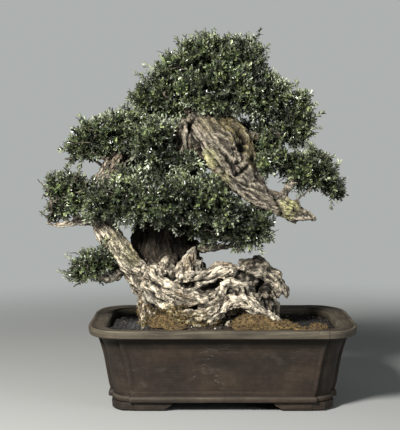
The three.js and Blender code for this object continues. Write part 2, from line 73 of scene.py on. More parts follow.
MM = 0.001
UP = Vector((0.0, 0.0, 1.0))
POT_LOW, POT_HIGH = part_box("pot")
POT_MIDDLE = Vector(((POT_LOW.x + POT_HIGH.x) / 2, (POT_LOW.y + POT_HIGH.y) / 2, POT_LOW.z))
POT_HALF = ((POT_HIGH - POT_LOW) / 2).xy
POT_HEIGHT = POT_HIGH.z - POT_LOW.z
SOIL_TOP = 0.166
SAME_PLACE = 1e-6  # vertices that lie closer are one
SAME_CORNER = 1e-5  # corners of a CAD node's triangles that lie closer are one
LEAF_NODES = sorted(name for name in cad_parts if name.startswith("leaves_"))


def spot(x, y, z):
    """A point given in millimetres from the middle of the pot, across, back and up from its feet."""
    return POT_MIDDLE + Vector((x, y, z)) * MM


# ------------------------------------------------------------------------------------ meshes


def copy_node(name):
    """A bmesh of a CAD node, with its loose triangles merged."""
    bm = bmesh.new()
    bm.from_mesh(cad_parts[name].data)
    bmesh.ops.remove_doubles(bm, verts=bm.verts, dist=SAME_CORNER)
    return bm


def close_holes(bm):
    bmesh.ops.holes_fill(bm, edges=[e for e in bm.edges if e.is_boundary], sides=0)


def surface_of(name):
    """The surface of a CAD node, to find places on it."""
    bm = copy_node(name)
    surface = BVHTree.FromBMesh(bm)
    bm.free()
    return surface


def to_mesh(bm, name):
    """The bmesh as a mesh; the bmesh is freed."""
    mesh = bpy.data.meshes.new(name)
    bm.to_mesh(mesh)
    bm.free()
    return mesh


def link(name, mesh, *materials):
    """A new object of the scene with this mesh and these materials."""
    piece = bpy.data.objects.new(name, mesh)
    bpy.context.scene.collection.objects.link(piece)
    for one in materials:
        mesh.materials.append(one)
    return piece


def settle(piece, slot, *nodes):
    """The piece belongs to the tree and stands for some CAD nodes, which are hidden; the slot is not used."""
    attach(piece, "root")
    if nodes:
        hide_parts(*nodes)
    return piece


def applied(piece):
    """The mesh of a piece with its modifiers applied; the piece itself is removed."""
    depsgraph = bpy.context.evaluated_depsgraph_get()
    mesh = bpy.data.meshes.new_from_object(piece.evaluated_get(depsgraph))
    mesh.name = piece.name
    bpy.data.objects.remove(piece)
    return mesh


def remeshed(mesh, voxel):
    """The same form with an even skin of quads."""
    piece = link("even_skin", mesh)
    skin = piece.modifiers.new("Even skin", "REMESH")
    skin.mode = "VOXEL"
    skin.voxel_size = voxel
    return applied(piece)


def largest_skin(mesh, voxel):
    """The largest island of an even skin over a mesh, as a bmesh."""
    bm = bmesh.new()
    bm.from_mesh(remeshed(mesh, voxel))
    left, largest = set(bm.verts), []
    while left:
        island, front = [], [left.pop()]
        while front:
            vert = front.pop()
            island.append(vert)
            for edge in vert.link_edges:
                other = edge.other_vert(vert)
                if other in left:
                    left.remove(other)
                    front.append(other)
        if len(island) > len(largest):
            largest = island
    keep = set(largest)
    bmesh.ops.delete(bm, geom=[v for v in bm.verts if v not in keep], context="VERTS")
    return bm


def random_vector(draw, reach):
    return Vector([draw.uniform(-reach, reach) for _ in range(3)])


def random_direction(draw):
    return Vector([draw.gauss(0, 1) for _ in range(3)]).normalized()


def turned_to(direction):
    """The turn that brings Z to a direction."""
    return direction.to_track_quat("Z", "Y").to_matrix().to_4x4()


def with_layers(*names):
    """An empty bmesh whose points hold a value for each name."""
    bm = bmesh.new()
    for name in names:
        bm.verts.layers.float.new(name)
    return bm


def stamp(bm, template, matrix, **values):
    """Adds a copy of a template mesh with a value of its own in each of the named layers."""
    copy = template.copy()
    copy.transform(matrix)
    for name, value in values.items():
        copy.attributes[name].data.foreach_set("value", [value] * len(copy.vertices))
    bm.from_mesh(copy)
    bpy.data.meshes.remove(copy)


def smooth_shading(mesh):
    mesh.polygons.foreach_set("use_smooth", [True] * len(mesh.polygons))


class Skin:
    """The points of a mesh of quads as arrays, each tied to its eight neighbours."""

    def __init__(self, mesh):
        self.mesh = mesh
        self.count = len(mesh.vertices)
        self.points = np.empty(self.count * 3)
        mesh.vertices.foreach_get("co", self.points)
        self.points = self.points.reshape(-1, 3)
        edges = np.empty(len(mesh.edges) * 2, np.int32)
        mesh.edges.foreach_get("vertices", edges)
        corners = np.empty(len(mesh.loops), np.int32)
        mesh.loops.foreach_get("vertex_index", corners)
        quads = corners.reshape(-1, 4)
        ties = np.vstack([edges.reshape(-1, 2), quads[:, [0, 2]], quads[:, [1, 3]]])
        self.a, self.b = ties[:, 0], ties[:, 1]

    def normals(self):
        self.mesh.vertices.foreach_set("co", self.points.ravel())
        self.mesh.update()
        normals = np.empty(self.count * 3)
        self.mesh.vertex_normals.foreach_get("vector", normals)
        return normals.reshape(-1, 3)

    def spread(self, values, times):
        """Each value averaged with those of its neighbours, several times over."""
        if values.ndim == 2:
            return np.stack([self.spread(column, times) for column in values.T], 1)
        total = 1 + np.bincount(self.a, minlength=self.count) + np.bincount(self.b, minlength=self.count)
        for _ in range(times):
            around = np.bincount(self.a, values[self.b], self.count)
            around += np.bincount(self.b, values[self.a], self.count)
            values = (values + around) / total
        return values

    def hollowness(self, reach):
        """How far each point lies below the surface around it, in metres."""
        normals = self.normals()
        return ((self.spread(self.points, reach) - self.points) * normals).sum(1)

    def sample(self, field, size, seed, places=None):
        """A 3-D noise with features of the given size, at each point or at other places for the points."""
        shift = Vector((17.3 * seed, -9.1 * seed, 5.7 * seed))
        places = self.points if places is None else places
        return np.array([field(Vector(place) / size + shift) for place in places])

    def store(self, name, values):
        if values.ndim == 2:
            layer = self.mesh.attributes.new(name, "FLOAT_VECTOR", "POINT")
            layer.data.foreach_set("vector", values.astype(np.float32).ravel())
        else:
            layer = self.mesh.attributes.new(name, "FLOAT", "POINT")
            layer.data.foreach_set("value", np.clip(values, 0, 1).astype(np.float32))


def step_up(values, low, high):
    """0 below low, 1 above high and a smooth way between."""
    t = np.clip((values - low) / (high - low), 0, 1)
    return t * t * (3 - 2 * t)


# ------------------------------------------------------------------------------------ shading


class Nodes:
    """A shader tree that nodes are added to; an input takes a value or is linked from a socket."""

    def __init__(self, tree):
        self.tree = tree

    def feed(self, target, value):
        if isinstance(value, NodeSocket):
            self.tree.links.new(value, target)
        else:
            target.default_value = value

    def add(self, kind, inputs=None, **settings):
        made = self.tree.nodes.new("ShaderNode" + kind)
        for name, value in settings.items():
            setattr(made, name, value)
        for name, value in (inputs or {}).items():
            self.feed(made.inputs[name], value)
        return made

    def mix(self, factor, first, second, blend="MIX"):
        """Two colours mixed, each given as a socket or as three numbers."""
        made = self.add("Mix", data_type="RGBA", blend_type=blend)
        colours = [one if isinstance(one, NodeSocket) else (*one, 1.0) for one in (first, second)]
        for index, value in zip((0, 6, 7), (factor, *colours)):
            self.feed(made.inputs[index], value)
        return made.outputs[2]

    def ramp(self, factor, *stops):
        """A colour ramp through stops of (place, colour)."""
        made = self.add("ValToRGB", {"Fac": factor})
        elements = made.color_ramp.elements
        while len(elements) < len(stops):
            elements.new(0.5)
        for element, (place, colour) in zip(elements, stops):
            element.position = place
            element.color = (*colour, 1.0)
        return made.outputs["Color"]

    def shaded(self, colour, share, mask, dark, light):
        """A colour that is darkened and lightened by a mask, to a share of its full strength."""
        greys = self.ramp(mask, (0.0, (dark,) * 3), (1.0, (light,) * 3))
        return self.mix(share, colour, greys, "MULTIPLY")

    def math(self, first, second, operation="ADD"):
        return self.add("Math", {0: first, 1: second}, operation=operation, use_clamp=True).outputs[0]

    def times(self, first, second):
        return self.math(first, second, "MULTIPLY")

    def most(self, first, second):
        return self.math(first, second, "MAXIMUM")

    def stored(self, name, output="Fac"):
        """A value, or a vector, that the mesh holds for each point."""
        return self.add("Attribute", attribute_name=name).outputs[output]

    def stretched(self, vector, x, y, z, slant=0.0):
        """Coordinates scaled along each axis and then turned about Y."""
        inputs = {"Vector": vector, "Rotation": (0.0, slant, 0.0), "Scale": (x, y, z)}
        return self.add("Mapping", inputs).outputs["Vector"]

    def group(self, name, vector, **numbers):
        """The result of a node group, which is made when it is first used."""
        made = self.add("Group", node_tree=bpy.data.node_groups.get(name) or GROUPS[name](name))
        for socket, value in {"Vector": vector, **numbers}.items():
            self.feed(made.inputs[socket], value)
        return made.outputs[0]

    def patches(self, vector, scale, low, high, detail=4.0):
        return self.group("Patches", vector, Scale=scale, Detail=detail, Low=low, High=high)

    def relief(self, vector, scale, strength, distance):
        return self.group("Fine Relief", vector, Scale=scale, Strength=strength, Distance=distance)

    def crack_lines(self, vector, scale, width):
        return self.group("Crack Lines", vector, Scale=scale, Width=width)


class Finish(Nodes):
    """A new material with one Principled BSDF, and its Object coordinates."""

    def __init__(self, name, roughness, **sockets):
        self.material = bpy.data.materials.new(name)
        self.material.use_nodes = True
        super().__init__(self.material.node_tree)
        self.shader = self.tree.nodes["Principled BSDF"]
        for socket, value in {"Roughness": roughness, **sockets}.items():
            self.shader.inputs[socket.replace("_", " ")].default_value = value
        self.at = self.add("TexCoord").outputs["Object"]

    def bump(self, height, strength, distance, under):
        """A relief over a finer one, as a normal."""
        inputs = {"Height": height, "Strength": strength, "Distance": distance, "Normal": under}
        return self.add("Bump", inputs).outputs["Normal"]

    def done(self, colour, normal=None):
        self.feed(self.shader.inputs["Base Color"], colour)
        if normal is not None:
            self.feed(self.shader.inputs["Normal"], normal)
        return self.material


def new_group(name, result, **numbers):
    """A node group of a vector and some numbers: its nodes, what it is given and the socket of its result."""
    group = bpy.data.node_groups.new(name, "ShaderNodeTree")
    group.interface.new_socket("Vector", in_out="INPUT", socket_type="NodeSocketVector")
    for socket, value in numbers.items():
        made = group.interface.new_socket(socket, in_out="INPUT", socket_type="NodeSocketFloat")
        made.default_value = value
    kind = "NodeSocketVector" if result == "Normal" else "NodeSocketFloat"
    group.interface.new_socket(result, in_out="OUTPUT", socket_type=kind)
    given = group.nodes.new("NodeGroupInput").outputs
    return Nodes(group), given, group.nodes.new("NodeGroupOutput").inputs[0]


def patches_group(name):
    """Soft-edged patches: a noise of a given scale, cut between two levels."""
    nodes, given, result = new_group(name, "Mask", Scale=20.0, Detail=4.0, Low=0.45, High=0.6)
    field = nodes.add("TexNoise", {socket: given[socket] for socket in ("Vector", "Scale", "Detail")})
    levels = {"Value": field.outputs["Fac"], "From Min": given["Low"], "From Max": given["High"]}
    cut = nodes.add("MapRange", levels, interpolation_type="SMOOTHSTEP")
    nodes.feed(result, cut.outputs["Result"])
    return nodes.tree


def relief_group(name):
    """A fine rough surface of two sizes of grain, as a normal."""
    nodes, given, result = new_group(name, "Normal", Scale=400.0, Strength=0.4, Distance=0.0006)
    where = {"Vector": given["Vector"], "Scale": given["Scale"]}
    coarse = nodes.add("TexNoise", {**where, "Detail": 8.0}).outputs["Fac"]
    pores = nodes.add("TexVoronoi", where).outputs["Distance"]
    height = nodes.add("Math", {0: coarse, 1: pores}, operation="ADD").outputs[0]
    bump = nodes.add("Bump", {"Height": height, "Strength": given["Strength"], "Distance": given["Distance"]})
    nodes.feed(result, bump.outputs["Normal"])
    return nodes.tree


def crack_lines_group(name):
    """Thin lines along the grain, where a drawn-out noise crosses its middle."""
    nodes, given, result = new_group(name, "Mask", Scale=90.0, Width=0.03)
    where = {"Vector": given["Vector"], "Scale": given["Scale"], "Detail": 3.0, "Distortion": 0.3}
    field = nodes.add("TexNoise", where).outputs["Fac"]
    off = nodes.add("Math", {0: field, 1: 0.5}, operation="SUBTRACT").outputs[0]
    distance = nodes.add("Math", {0: off}, operation="ABSOLUTE").outputs[0]
    levels = {"Value": distance, "From Min": 0.0, "From Max": given["Width"], "To Min": 1.0, "To Max": 0.0}
    line = nodes.add("MapRange", levels, interpolation_type="SMOOTHSTEP")
    nodes.feed(result, line.outputs["Result"])
    return nodes.tree


GROUPS = {"Patches": patches_group, "Fine Relief": relief_group, "Crack Lines": crack_lines_group}

# Finishes of two colours in patches: roughness, specular level, the patches, the colours and the relief.
PLAIN_FINISHES = {
    "Damp soil": (
        0.9, 0.12, (90.0, 0.3, 0.75, 8.0), (0.008, 0.007, 0.006), (0.05, 0.038, 0.027), (500.0, 0.8, 0.0015),
    ),
    "Black net": (0.55, 0.2, (70.0, 0.4, 0.7), (0.0025, 0.0025, 0.0024), (0.009, 0.0088, 0.008), None),
    "Twigs": (0.8, 0.5, (120.0, 0.3, 0.7), (0.018, 0.014, 0.010), (0.085, 0.066, 0.045), None),
    # A dark core of painted shade inside each pad of leaves.
    "Painted shade core": (
        0.95, 0.1, (110.0, 0.35, 0.75, 8.0), (0.004, 0.006, 0.003), (0.02, 0.03, 0.012), (200.0, 1.0, 0.004),
    ),
}


def tinted(colour, share):
    return [share * one for one in colour]


def plain_material(name):
    """One of the plain finishes, made when it is first used."""
    if name in bpy.data.materials:
        return bpy.data.materials[name]
    roughness, level, patches, dark, light, relief = PLAIN_FINISHES[name]
    plain = Finish(name, roughness, Specular_IOR_Level=level)
    colour = plain.ramp(plain.patches(plain.at, *patches), (0.0, dark), (1.0, light))
    return plain.done(colour, plain.relief(plain.at, *relief) if relief else None)


def clay_material(settings):
    """Unglazed stoneware: brushed, mottled, rubbed paler on the lip, with lime bloom and scratches."""
    clay = Finish("Unglazed clay", 0.66, Specular_IOR_Level=0.16)
    at = clay.at
    body = clay.ramp(
        clay.patches(clay.stretched(at, 1.0, 1.0, 2.2), 7.0, 0.3, 0.7, 7.0),
        (0.0, tinted(settings.clay, 0.78)),
        (0.5, settings.clay),
        (1.0, [1.3 * settings.clay[0], 1.2 * settings.clay[1], 1.12 * settings.clay[2]]),
    )
    brushed = clay.patches(clay.stored("brush", "Vector"), 330.0, 0.3, 0.7)
    body = clay.shaded(body, 0.16, brushed, 0.5, 1.35)
    mottled = clay.shaded(body, 0.6, clay.patches(at, 85.0, 0.3, 0.75, 6.0), 0.72, 1.3)
    cloudy = clay.shaded(mottled, 0.5, clay.patches(at, 22.0, 0.35, 0.75, 7.0), 0.7, 1.3)
    bloom = clay.patches(clay.stretched(at, 0.6, 0.6, 1.0), 34.0, 0.6, 0.82, 8.0)
    bloomed = clay.mix(clay.times(bloom, 0.35), cloudy, settings.lime)
    level = clay.crack_lines(clay.stretched(at, 0.10, 0.10, 1.0), 60.0, 0.004)
    rising = clay.crack_lines(clay.stretched(at, 0.10, 0.10, 1.0, 0.5), 50.0, 0.003)
    scratches = clay.times(clay.most(level, rising), clay.patches(at, 13.0, 0.55, 0.66, 2.0))
    scratched = clay.mix(clay.times(scratches, 0.75), bloomed, tinted(settings.lime, 1.6))
    rubbed = clay.math(clay.patches(clay.stretched(at, 0.4, 0.4, 1.0), 40.0, 0.2, 0.75, 8.0), 0.25)
    worn = clay.shaded(settings.worn, 0.8, brushed, 0.45, 1.2)
    bare = clay.mix(clay.times(clay.stored("wear"), rubbed), scratched, worn)
    # The clay is darker where it is hollow.
    colour = clay.mix(clay.times(clay.stored("hollow_dark"), 0.85), bare, (0.006, 0.0045, 0.0035))
    height = clay.math(brushed, scratches, "SUBTRACT")
    return clay.done(colour, clay.bump(height, 0.25, 0.0008, clay.relief(at, 700.0, 0.3, 0.0005)))


def grain_material():
    """Loose grains: baked clay, pumice and lava, mostly dark."""
    grains = Finish("Soil grains", 0.8, Specular_IOR_Level=0.25)
    colour = grains.ramp(
        grains.stored("tint"),
        (0.0, (0.008, 0.007, 0.006)),
        (0.62, (0.035, 0.028, 0.02)),
        (0.9, (0.13, 0.10, 0.065)),
        (0.97, (0.17, 0.155, 0.13)),
        (1.0, (0.36, 0.34, 0.30)),
    )
    return grains.done(colour, grains.relief(grains.at, 900.0, 0.5, 0.0006))


def moss_material(settings):
    """Dry moss, golden to brown and reddish in places; the heaps hold painted light on their lumps and
    painted shade in their hollows.
    """
    moss = Finish("Dry moss", 0.95)
    fine = moss.math(moss.patches(moss.at, 330.0, 0.3, 0.7, 6.0), 0.35)
    golden = moss.ramp(
        moss.times(moss.math(moss.stored("tint"), 0.05), fine),
        (0.0, (0.012, 0.007, 0.0035)),
        (0.25, tinted(settings.moss, 0.28)),
        (0.6, settings.moss),
        (1.0, tinted(settings.moss, 1.9)),
    )
    reddish = moss.times(moss.patches(moss.at, 26.0, 0.5, 0.68, 5.0), 0.7)
    colour = moss.mix(reddish, golden, (0.62, 0.5, 0.62), "MULTIPLY")
    return moss.done(colour, moss.relief(moss.at, 350.0, 0.8, 0.002))


def wood_material(settings):
    """Old olive wood: silver-cream deadwood, brown bark, dark cracks, ochre moss and grey-green lichen, with
    painted shade in its hollows and on the bark of limbs that lie in shade.
    """
    wood = Finish("Old olive wood", 0.85, Specular_IOR_Level=0.2)
    at, grain = wood.at, wood.stored("grain", "Vector")
    streak = wood.patches(grain, 420.0, 0.28, 0.72, 6.0)
    fibre = wood.math(wood.stored("fibre"), wood.times(streak, 0.34))
    fibre = wood.math(fibre, 0.14, "SUBTRACT")
    steps = ((0.0, 0.06), (0.3, 0.24), (0.6, 0.66), (0.9, 1.0))
    dead = wood.ramp(fibre, *((place, tinted(settings.deadwood, share)) for place, share in steps))
    # The bark's ramp is very dark: real bark darkened further as painted shade on limbs that lie in shade.
    grey, tan, bark_and_shade = (
        wood.ramp(fibre, *stops)
        for stops in (
            ((0.0, (0.03, 0.026, 0.02)), (0.5, (0.21, 0.188, 0.15)), (1.0, (0.46, 0.42, 0.345))),
            ((0.0, (0.04, 0.024, 0.012)), (0.6, (0.24, 0.165, 0.098)), (1.0, (0.42, 0.33, 0.22))),
            ((0.0, (0.002, 0.0014, 0.001)), (0.5, (0.009, 0.0065, 0.004)), (1.0, (0.046, 0.034, 0.021))),
        )
    )
    weathered = wood.mix(wood.patches(at, 16.0, 0.42, 0.66, 6.0), dead, grey)
    tanned = wood.mix(wood.times(wood.patches(grain, 46.0, 0.50, 0.66, 5.0), 0.75), weathered, tan)
    colour = wood.mix(wood.stored("bark_and_shade"), tanned, bark_and_shade)
    thin = wood.patches(at, 150.0, 0.28, 0.55, 6.0)
    growths = (("gold", settings.ochre, 0.35, 1.5), ("lichen", settings.lichen, 0.4, 1.3))
    for mask, growth, low, high in growths:
        crust = wood.mix(fibre, tinted(growth, low), tinted(growth, high))
        colour = wood.mix(wood.times(wood.stored(mask), thin), colour, crust)
    wide, narrow = wood.crack_lines(grain, 48.0, 0.030), wood.crack_lines(grain, 120.0, 0.042)
    chips = wood.patches(wood.stretched(grain, 1.5, 1.0, 1.0), 170.0, 0.57, 0.63, 3.0)
    lines = wood.most(wood.most(wide, wood.times(narrow, 0.75)), wood.times(chips, 0.75))
    # Dark cracks and chips, with painted shade in the wood's hollows and gouges.
    dark = wood.most(wood.stored("crack_and_shade"), wood.times(lines, 0.95))
    colour = wood.mix(dark, colour, (0.010, 0.008, 0.0055))
    height = wood.math(streak, lines, "SUBTRACT")
    return wood.done(colour, wood.bump(height, 1.0, 0.003, wood.relief(at, 420.0, 0.7, 0.0012)))


def leaf_material(settings):
    """Small leathery leaves: dark and glossy above, silvery below, some young ones yellow-green, with painted
    light and shade through the pads.
    """
    leaf = Finish("Olive leaves", 0.4, Specular_IOR_Level=0.4, Coat_Weight=0.34, Coat_Roughness=0.22)
    young = leaf.times(leaf.patches(leaf.at, 11.0, 0.45, 0.75), leaf.stored("tint"))
    above = leaf.ramp(
        leaf.math(leaf.stored("leaf"), leaf.times(young, 0.45)),
        (0.0, tinted(settings.dark, 0.45)),
        (0.5, settings.dark),
        (0.86, settings.light),
        (1.0, settings.young),
    )
    below = leaf.mix(0.65, above, settings.underside)
    either = leaf.mix(leaf.add("NewGeometry").outputs["Backfacing"], above, below)
    # Painted light and shade: leaves darker in a pad's hollows, on inner sprigs and on low pads, lighter on
    # its tufts.
    sky = leaf.ramp(leaf.stored("open"), (0.0, (0.2,) * 3), (0.5, (0.78,) * 3), (1.0, (1.5,) * 3))
    return leaf.done(leaf.mix(1.0, either, sky, "MULTIPLY"))


# ------------------------------------------------------------------------------------ pot

# How far the wall stands in from the rim's edge, and its height, from the foot of the wall up and over.
WALL_PROFILE = (
    (64, 20), (52, 20), (46, 20.2), (44, 21), (43, 23), (42.8, 27), (43, 30), (44.2, 32), (47, 33.4),
    (47, 36), (45.8, 41), (45, 44), (44.4, 47), (43.6, 50), (41.4, 64), (39, 80), (36.6, 96), (34, 112),
    (31.4, 124), (29, 134), (27, 142), (26.4, 144.6), (25.6, 147.4), (24, 152), (20.8, 158), (16.2, 162.6),
    (11.2, 165.6), (6, 167.4), (2.4, 168), (1.2, 168.8), (0.7, 170.6), (0.5, 175), (0, 179), (0, 182),
    (0.7, 183.8), (2.2, 184.8), (4.2, 185), (6.4, 184.2), (9, 183.4), (16, 183.2), (26, 183.4), (34, 183.4),
    (38, 182.6), (41, 180.8), (42.4, 178), (43.2, 172), (44.4, 164), (47, 150), (51, 130), (56, 80),
    (60, 46), (64, 38),
)
INSIDE_FROM = 37.0  # inset of the rim's top from which the corners are plainly rounded
CORNER_ROUND = 3.5  # how far a softened corner reaches along its sides
CUT_X, CUT_Y = 50.0, 76.0  # reach of a lobed corner
NECK = 26.0  # inset of the wall just below the rim
RIM_FLARE_X, RIM_FLARE_Y = 0.84, 1.2  # how much faster the corners are cut where the rim flares out
WALL_STEP, RIM_STEP, INSIDE_STEP = 9.0, 1.5, 0.4  # the small steps beside a corner's lobe
STEP_FADES = 0.7  # share of the neck's inset over which the wall's step becomes the rim's
LONG_SIDE_PIECES, SHORT_SIDE_PIECES, LOBE_PIECES = 110, 56, 9
PANEL = {"across": 7.0, "bottom": 43.0, "top": 147.0, "depth": 2.0, "soft": 3.0}
PANEL_INSET, PANEL_HEIGHTS = 50.0, (34.0, 183.0)  # the wall's outer side, where a panel may lie
LIP_HEIGHT, LIP_WAVE = 168.0, 1.1  # the lip rises and falls a little above this height
LIP_EDGE, TOP_EDGE = (167.5, 170), (183.6, 184.6)  # heights over which the wear of the rim sets in
WORN_BANDS = ((0.5, 31.5, 1.6), (0.1, 25, 5))  # of the moulding: strength, height and half width
DRAIN_PLACES, DRAIN_RADIUS, DRILL_MIDDLE, DRILL_LENGTH = (-140.0, 140.0), 15.0, 25.0, 0.08
BRUSH_DRAWN = 0.05  # how much shorter a brushed pattern is across the pot's outline than along it
HOLLOW_DARK_DEPTH = 0.0006  # hollowness at which the clay is darkest
FEET_CUT = 19.9  # height at which the feet are cut from the pot
FEET_EDGE = 0.003  # width of the feet's softened edges, in metres
FEET_SLIVER = 0.0002  # points of the feet that lie closer are made one
FOOT_CUTS = (22, 45, 68)  # degrees at which a foot's lobe is divided, so that it can be filled out
FOOT_SET_BACK = 52.0
FOOT_CORNER, FOOT_LOBE = (56.0, 78.0), (46.0, 68.0)  # reach of a foot's corner, and of the lobe in it
FOOT_SQUARENESS = 3.2  # exponent of the rounded square that the feet's corners fill; 2 is a circle
LOBE_SLACK = 1.05  # a point further out than the lobe by this factor isn't part of it


def rounded(corners, pieces):
    """An outline with softened corners; pieces says in how many lengths each side is divided."""

    def towards(start, end):
        """The place on the way to the end where the rounding of the start's corner stops."""
        way = end - start
        return start + way.normalized() * min(CORNER_ROUND, way.length / 2.4)

    outline = []
    for i, corner in enumerate(corners):
        after = corners[(i + 1) % len(corners)]
        enter, leave, ahead = towards(corner, corners[i - 1]), towards(corner, after), towards(after, corner)
        for t in (0.0, 0.33, 0.67, 1.0):
            outline.append(enter.lerp(corner, t).lerp(corner.lerp(leave, t), t))
        outline += [leave.lerp(ahead, k / pieces[i]) for k in range(1, pieces[i])]
    return outline


def pot_plan(inset, inside):
    """The outline of the pot drawn in by an inset, in millimetres from its middle."""
    x, y = POT_HALF.x / MM - inset, POT_HALF.y / MM - inset
    flare = max(0.0, NECK - inset)
    cut_x, cut_y = CUT_X + RIM_FLARE_X * flare, CUT_Y + RIM_FLARE_Y * flare
    step = WALL_STEP + (RIM_STEP - WALL_STEP) * min(1.0, flare / (STEP_FADES * NECK))
    if inside:
        cut_x, cut_y, step = CUT_X, CUT_Y, INSIDE_STEP
    corner = [(x, y - cut_y)]
    for k in range(LOBE_PIECES + 1):
        turn = math.pi / 2 * k / LOBE_PIECES
        across, back = (cut_x - step) * math.cos(turn), (cut_y - step) * math.sin(turn)
        corner.append((x - cut_x + across, y - cut_y + back))
    corner.append((x - cut_x, y))
    corners = []
    for quarter, (sx, sy) in enumerate(((1, 1), (-1, 1), (-1, -1), (1, -1))):
        points = [Vector((sx * px, sy * py)) for px, py in corner]
        corners += reversed(points) if quarter % 2 else points
    lobe = [1] * (LOBE_PIECES + 2)
    pieces = (lobe + [LONG_SIDE_PIECES] + lobe + [SHORT_SIDE_PIECES]) * 2
    return rounded(corners, pieces)


def hand_made(x, y, z):
    """The slight unevenness of a pressed clay wall, in millimetres."""
    low = noise.noise(Vector((x, y, 2 * z)) / 120.0)
    fine = noise.noise(Vector((x, y, z)) / 34.0 + Vector((9, 0, 0)))
    return 1.6 * low + 0.5 * fine


def panel_depth(x, y, z, inset):
    """How far the soft panel of a long or short side lies back at this place, in millimetres."""
    side_x, side_y = POT_HALF.x / MM - inset, POT_HALF.y / MM - inset
    on_long = abs(abs(y) - side_y) < 1.0
    half = (side_x - CUT_X if on_long else side_y - CUT_Y) - PANEL["across"]
    along = abs(x) if on_long else abs(y)
    if not on_long and abs(abs(x) - side_x) > 1.0:
        return 0.0
    inside = min(half - along, z - PANEL["bottom"], PANEL["top"] - z)
    return PANEL["depth"] * min(1.0, max(0.0, inside / PANEL["soft"]))


def pot_wall_point(outline, inset, height):
    """A point of the wall, pressed a little out of true and set back where the panel is."""
    x, y = outline
    shift = hand_made(x, y, height)
    if inset < PANEL_INSET and PANEL_HEIGHTS[0] < height < PANEL_HEIGHTS[1]:
        shift -= panel_depth(x, y, height, inset)
    out = Vector((x, y)).normalized()
    lift = LIP_WAVE * noise.noise(Vector((x, y, 0)) / 70.0) if height > LIP_HEIGHT else 0.0
    inward = min(0.0, shift) if inset < 2 else shift
    return spot(x + out.x * inward, y + out.y * inward, min(height + lift, POT_HEIGHT / MM))


def pot_body():
    """The pot's wall, rim and floor in one skin, from its foot up and over the rim to the floor inside."""
    highest = max(range(len(WALL_PROFILE)), key=lambda row: WALL_PROFILE[row][1])
    outlines = [
        pot_plan(inset, row > highest and inset > INSIDE_FROM) for row, (inset, _) in enumerate(WALL_PROFILE)
    ]
    columns, rows = len(outlines[0]), len(WALL_PROFILE) - 1
    lengths = [0.0]
    for before, after in zip(WALL_PROFILE[:-1], WALL_PROFILE[1:]):
        lengths.append(lengths[-1] + math.dist(before, after) * MM)
    bm = bmesh.new()
    brush = bm.verts.layers.float_vector.new("brush")
    wall = bmesh.ops.create_grid(bm, x_segments=columns, y_segments=rows, size=0.5)["verts"]
    for vert in wall:
        column = round((vert.co.x + 0.5) * columns) % columns
        row = round((vert.co.y + 0.5) * rows)
        inset, height = WALL_PROFILE[row]
        vert.co = pot_wall_point(outlines[row][column], inset, height)
        vert[brush] = (BRUSH_DRAWN * vert.co.x, BRUSH_DRAWN * vert.co.y, lengths[row])
    bmesh.ops.remove_doubles(bm, verts=bm.verts, dist=SAME_PLACE)
    close_holes(bm)
    bmesh.ops.recalc_face_normals(bm, faces=bm.faces)
    darken_hollows(bm)
    return bm


def darken_hollows(bm):
    """The clay is stored darker where it is hollow."""
    hollow_dark = bm.verts.layers.float.new("hollow_dark")
    bm.normal_update()
    for vert in bm.verts:
        around = sum((edge.other_vert(vert).co for edge in vert.link_edges), Vector()) / len(vert.link_edges)
        vert[hollow_dark] = min(1.0, max(0.0, (around - vert.co).dot(vert.normal) / HOLLOW_DARK_DEPTH))


def drilled(mesh):
    """The pot with its two drain holes."""
    bm = bmesh.new()
    radius = DRAIN_RADIUS * MM
    for across in DRAIN_PLACES:
        place = Matrix.Translation(spot(across, 0, DRILL_MIDDLE))
        bmesh.ops.create_cone(
            bm, cap_ends=True, segments=24, radius1=radius, radius2=radius, depth=DRILL_LENGTH, matrix=place
        )
    drills = link("drills", to_mesh(bm, "drills"))
    piece = link(mesh.name, mesh)
    holes = piece.modifiers.new("Drain holes", "BOOLEAN")
    holes.operation = "DIFFERENCE"
    holes.object = drills
    made = applied(piece)
    bpy.data.objects.remove(drills)
    return made


def pot_feet():
    """The feet of the pot, cut from its solid and softened at their edges."""
    bm = copy_node("pot")

    def cut(place, normal, **sides):
        everything = bm.verts[:] + bm.edges[:] + bm.faces[:]
        bmesh.ops.bisect_plane(
            bm, geom=everything, dist=SAME_PLACE, plane_co=place, plane_no=normal, **sides
        )

    cut(spot(0, 0, FEET_CUT), UP, clear_outer=True)
    close_holes(bm)
    middle = foot_corner_middle()
    for sx, sy, degrees in product((-1, 1), (-1, 1), FOOT_CUTS):
        turn = math.radians(degrees)
        across = Vector((sx * FOOT_LOBE[1] * math.sin(turn), -sy * FOOT_LOBE[0] * math.cos(turn), 0))
        cut(POT_MIDDLE + Vector((sx * middle.x, sy * middle.y, 0)), across.normalized())
    brush = bm.verts.layers.float_vector.new("brush")
    for vert in bm.verts:
        square_corner(vert, middle)
        vert[brush] = (BRUSH_DRAWN * vert.co.x, BRUSH_DRAWN * vert.co.y, vert.co.z)
    bmesh.ops.remove_doubles(bm, verts=bm.verts, dist=FEET_SLIVER)
    darken_hollows(bm)
    return bm


def foot_corner_middle():
    """The middle of the lobe of a foot's corner, from the middle of the pot."""
    return POT_HALF - Vector((FOOT_SET_BACK + FOOT_CORNER[0], FOOT_SET_BACK + FOOT_CORNER[1])) * MM


def square_corner(vert, middle):
    """Fills a foot's lobed corner out to a rounded square one."""
    place = (vert.co - POT_MIDDLE).xy
    beyond = Vector((abs(place.x) - middle.x, abs(place.y) - middle.y))
    if min(beyond) < -0.0005 or max(beyond) < 0.001:
        return
    share = Vector((max(0.0, beyond[axis]) / (FOOT_LOBE[axis] * MM) for axis in range(2)))
    if share.length > LOBE_SLACK:
        return
    power = FOOT_SQUARENESS
    share *= share.length / (share.x**power + share.y**power) ** (1 / power)
    vert.co.x = POT_MIDDLE.x + math.copysign(middle.x + share.x * FOOT_CORNER[0] * MM, place.x)
    vert.co.y = POT_MIDDLE.y + math.copysign(middle.y + share.y * FOOT_CORNER[1] * MM, place.y)


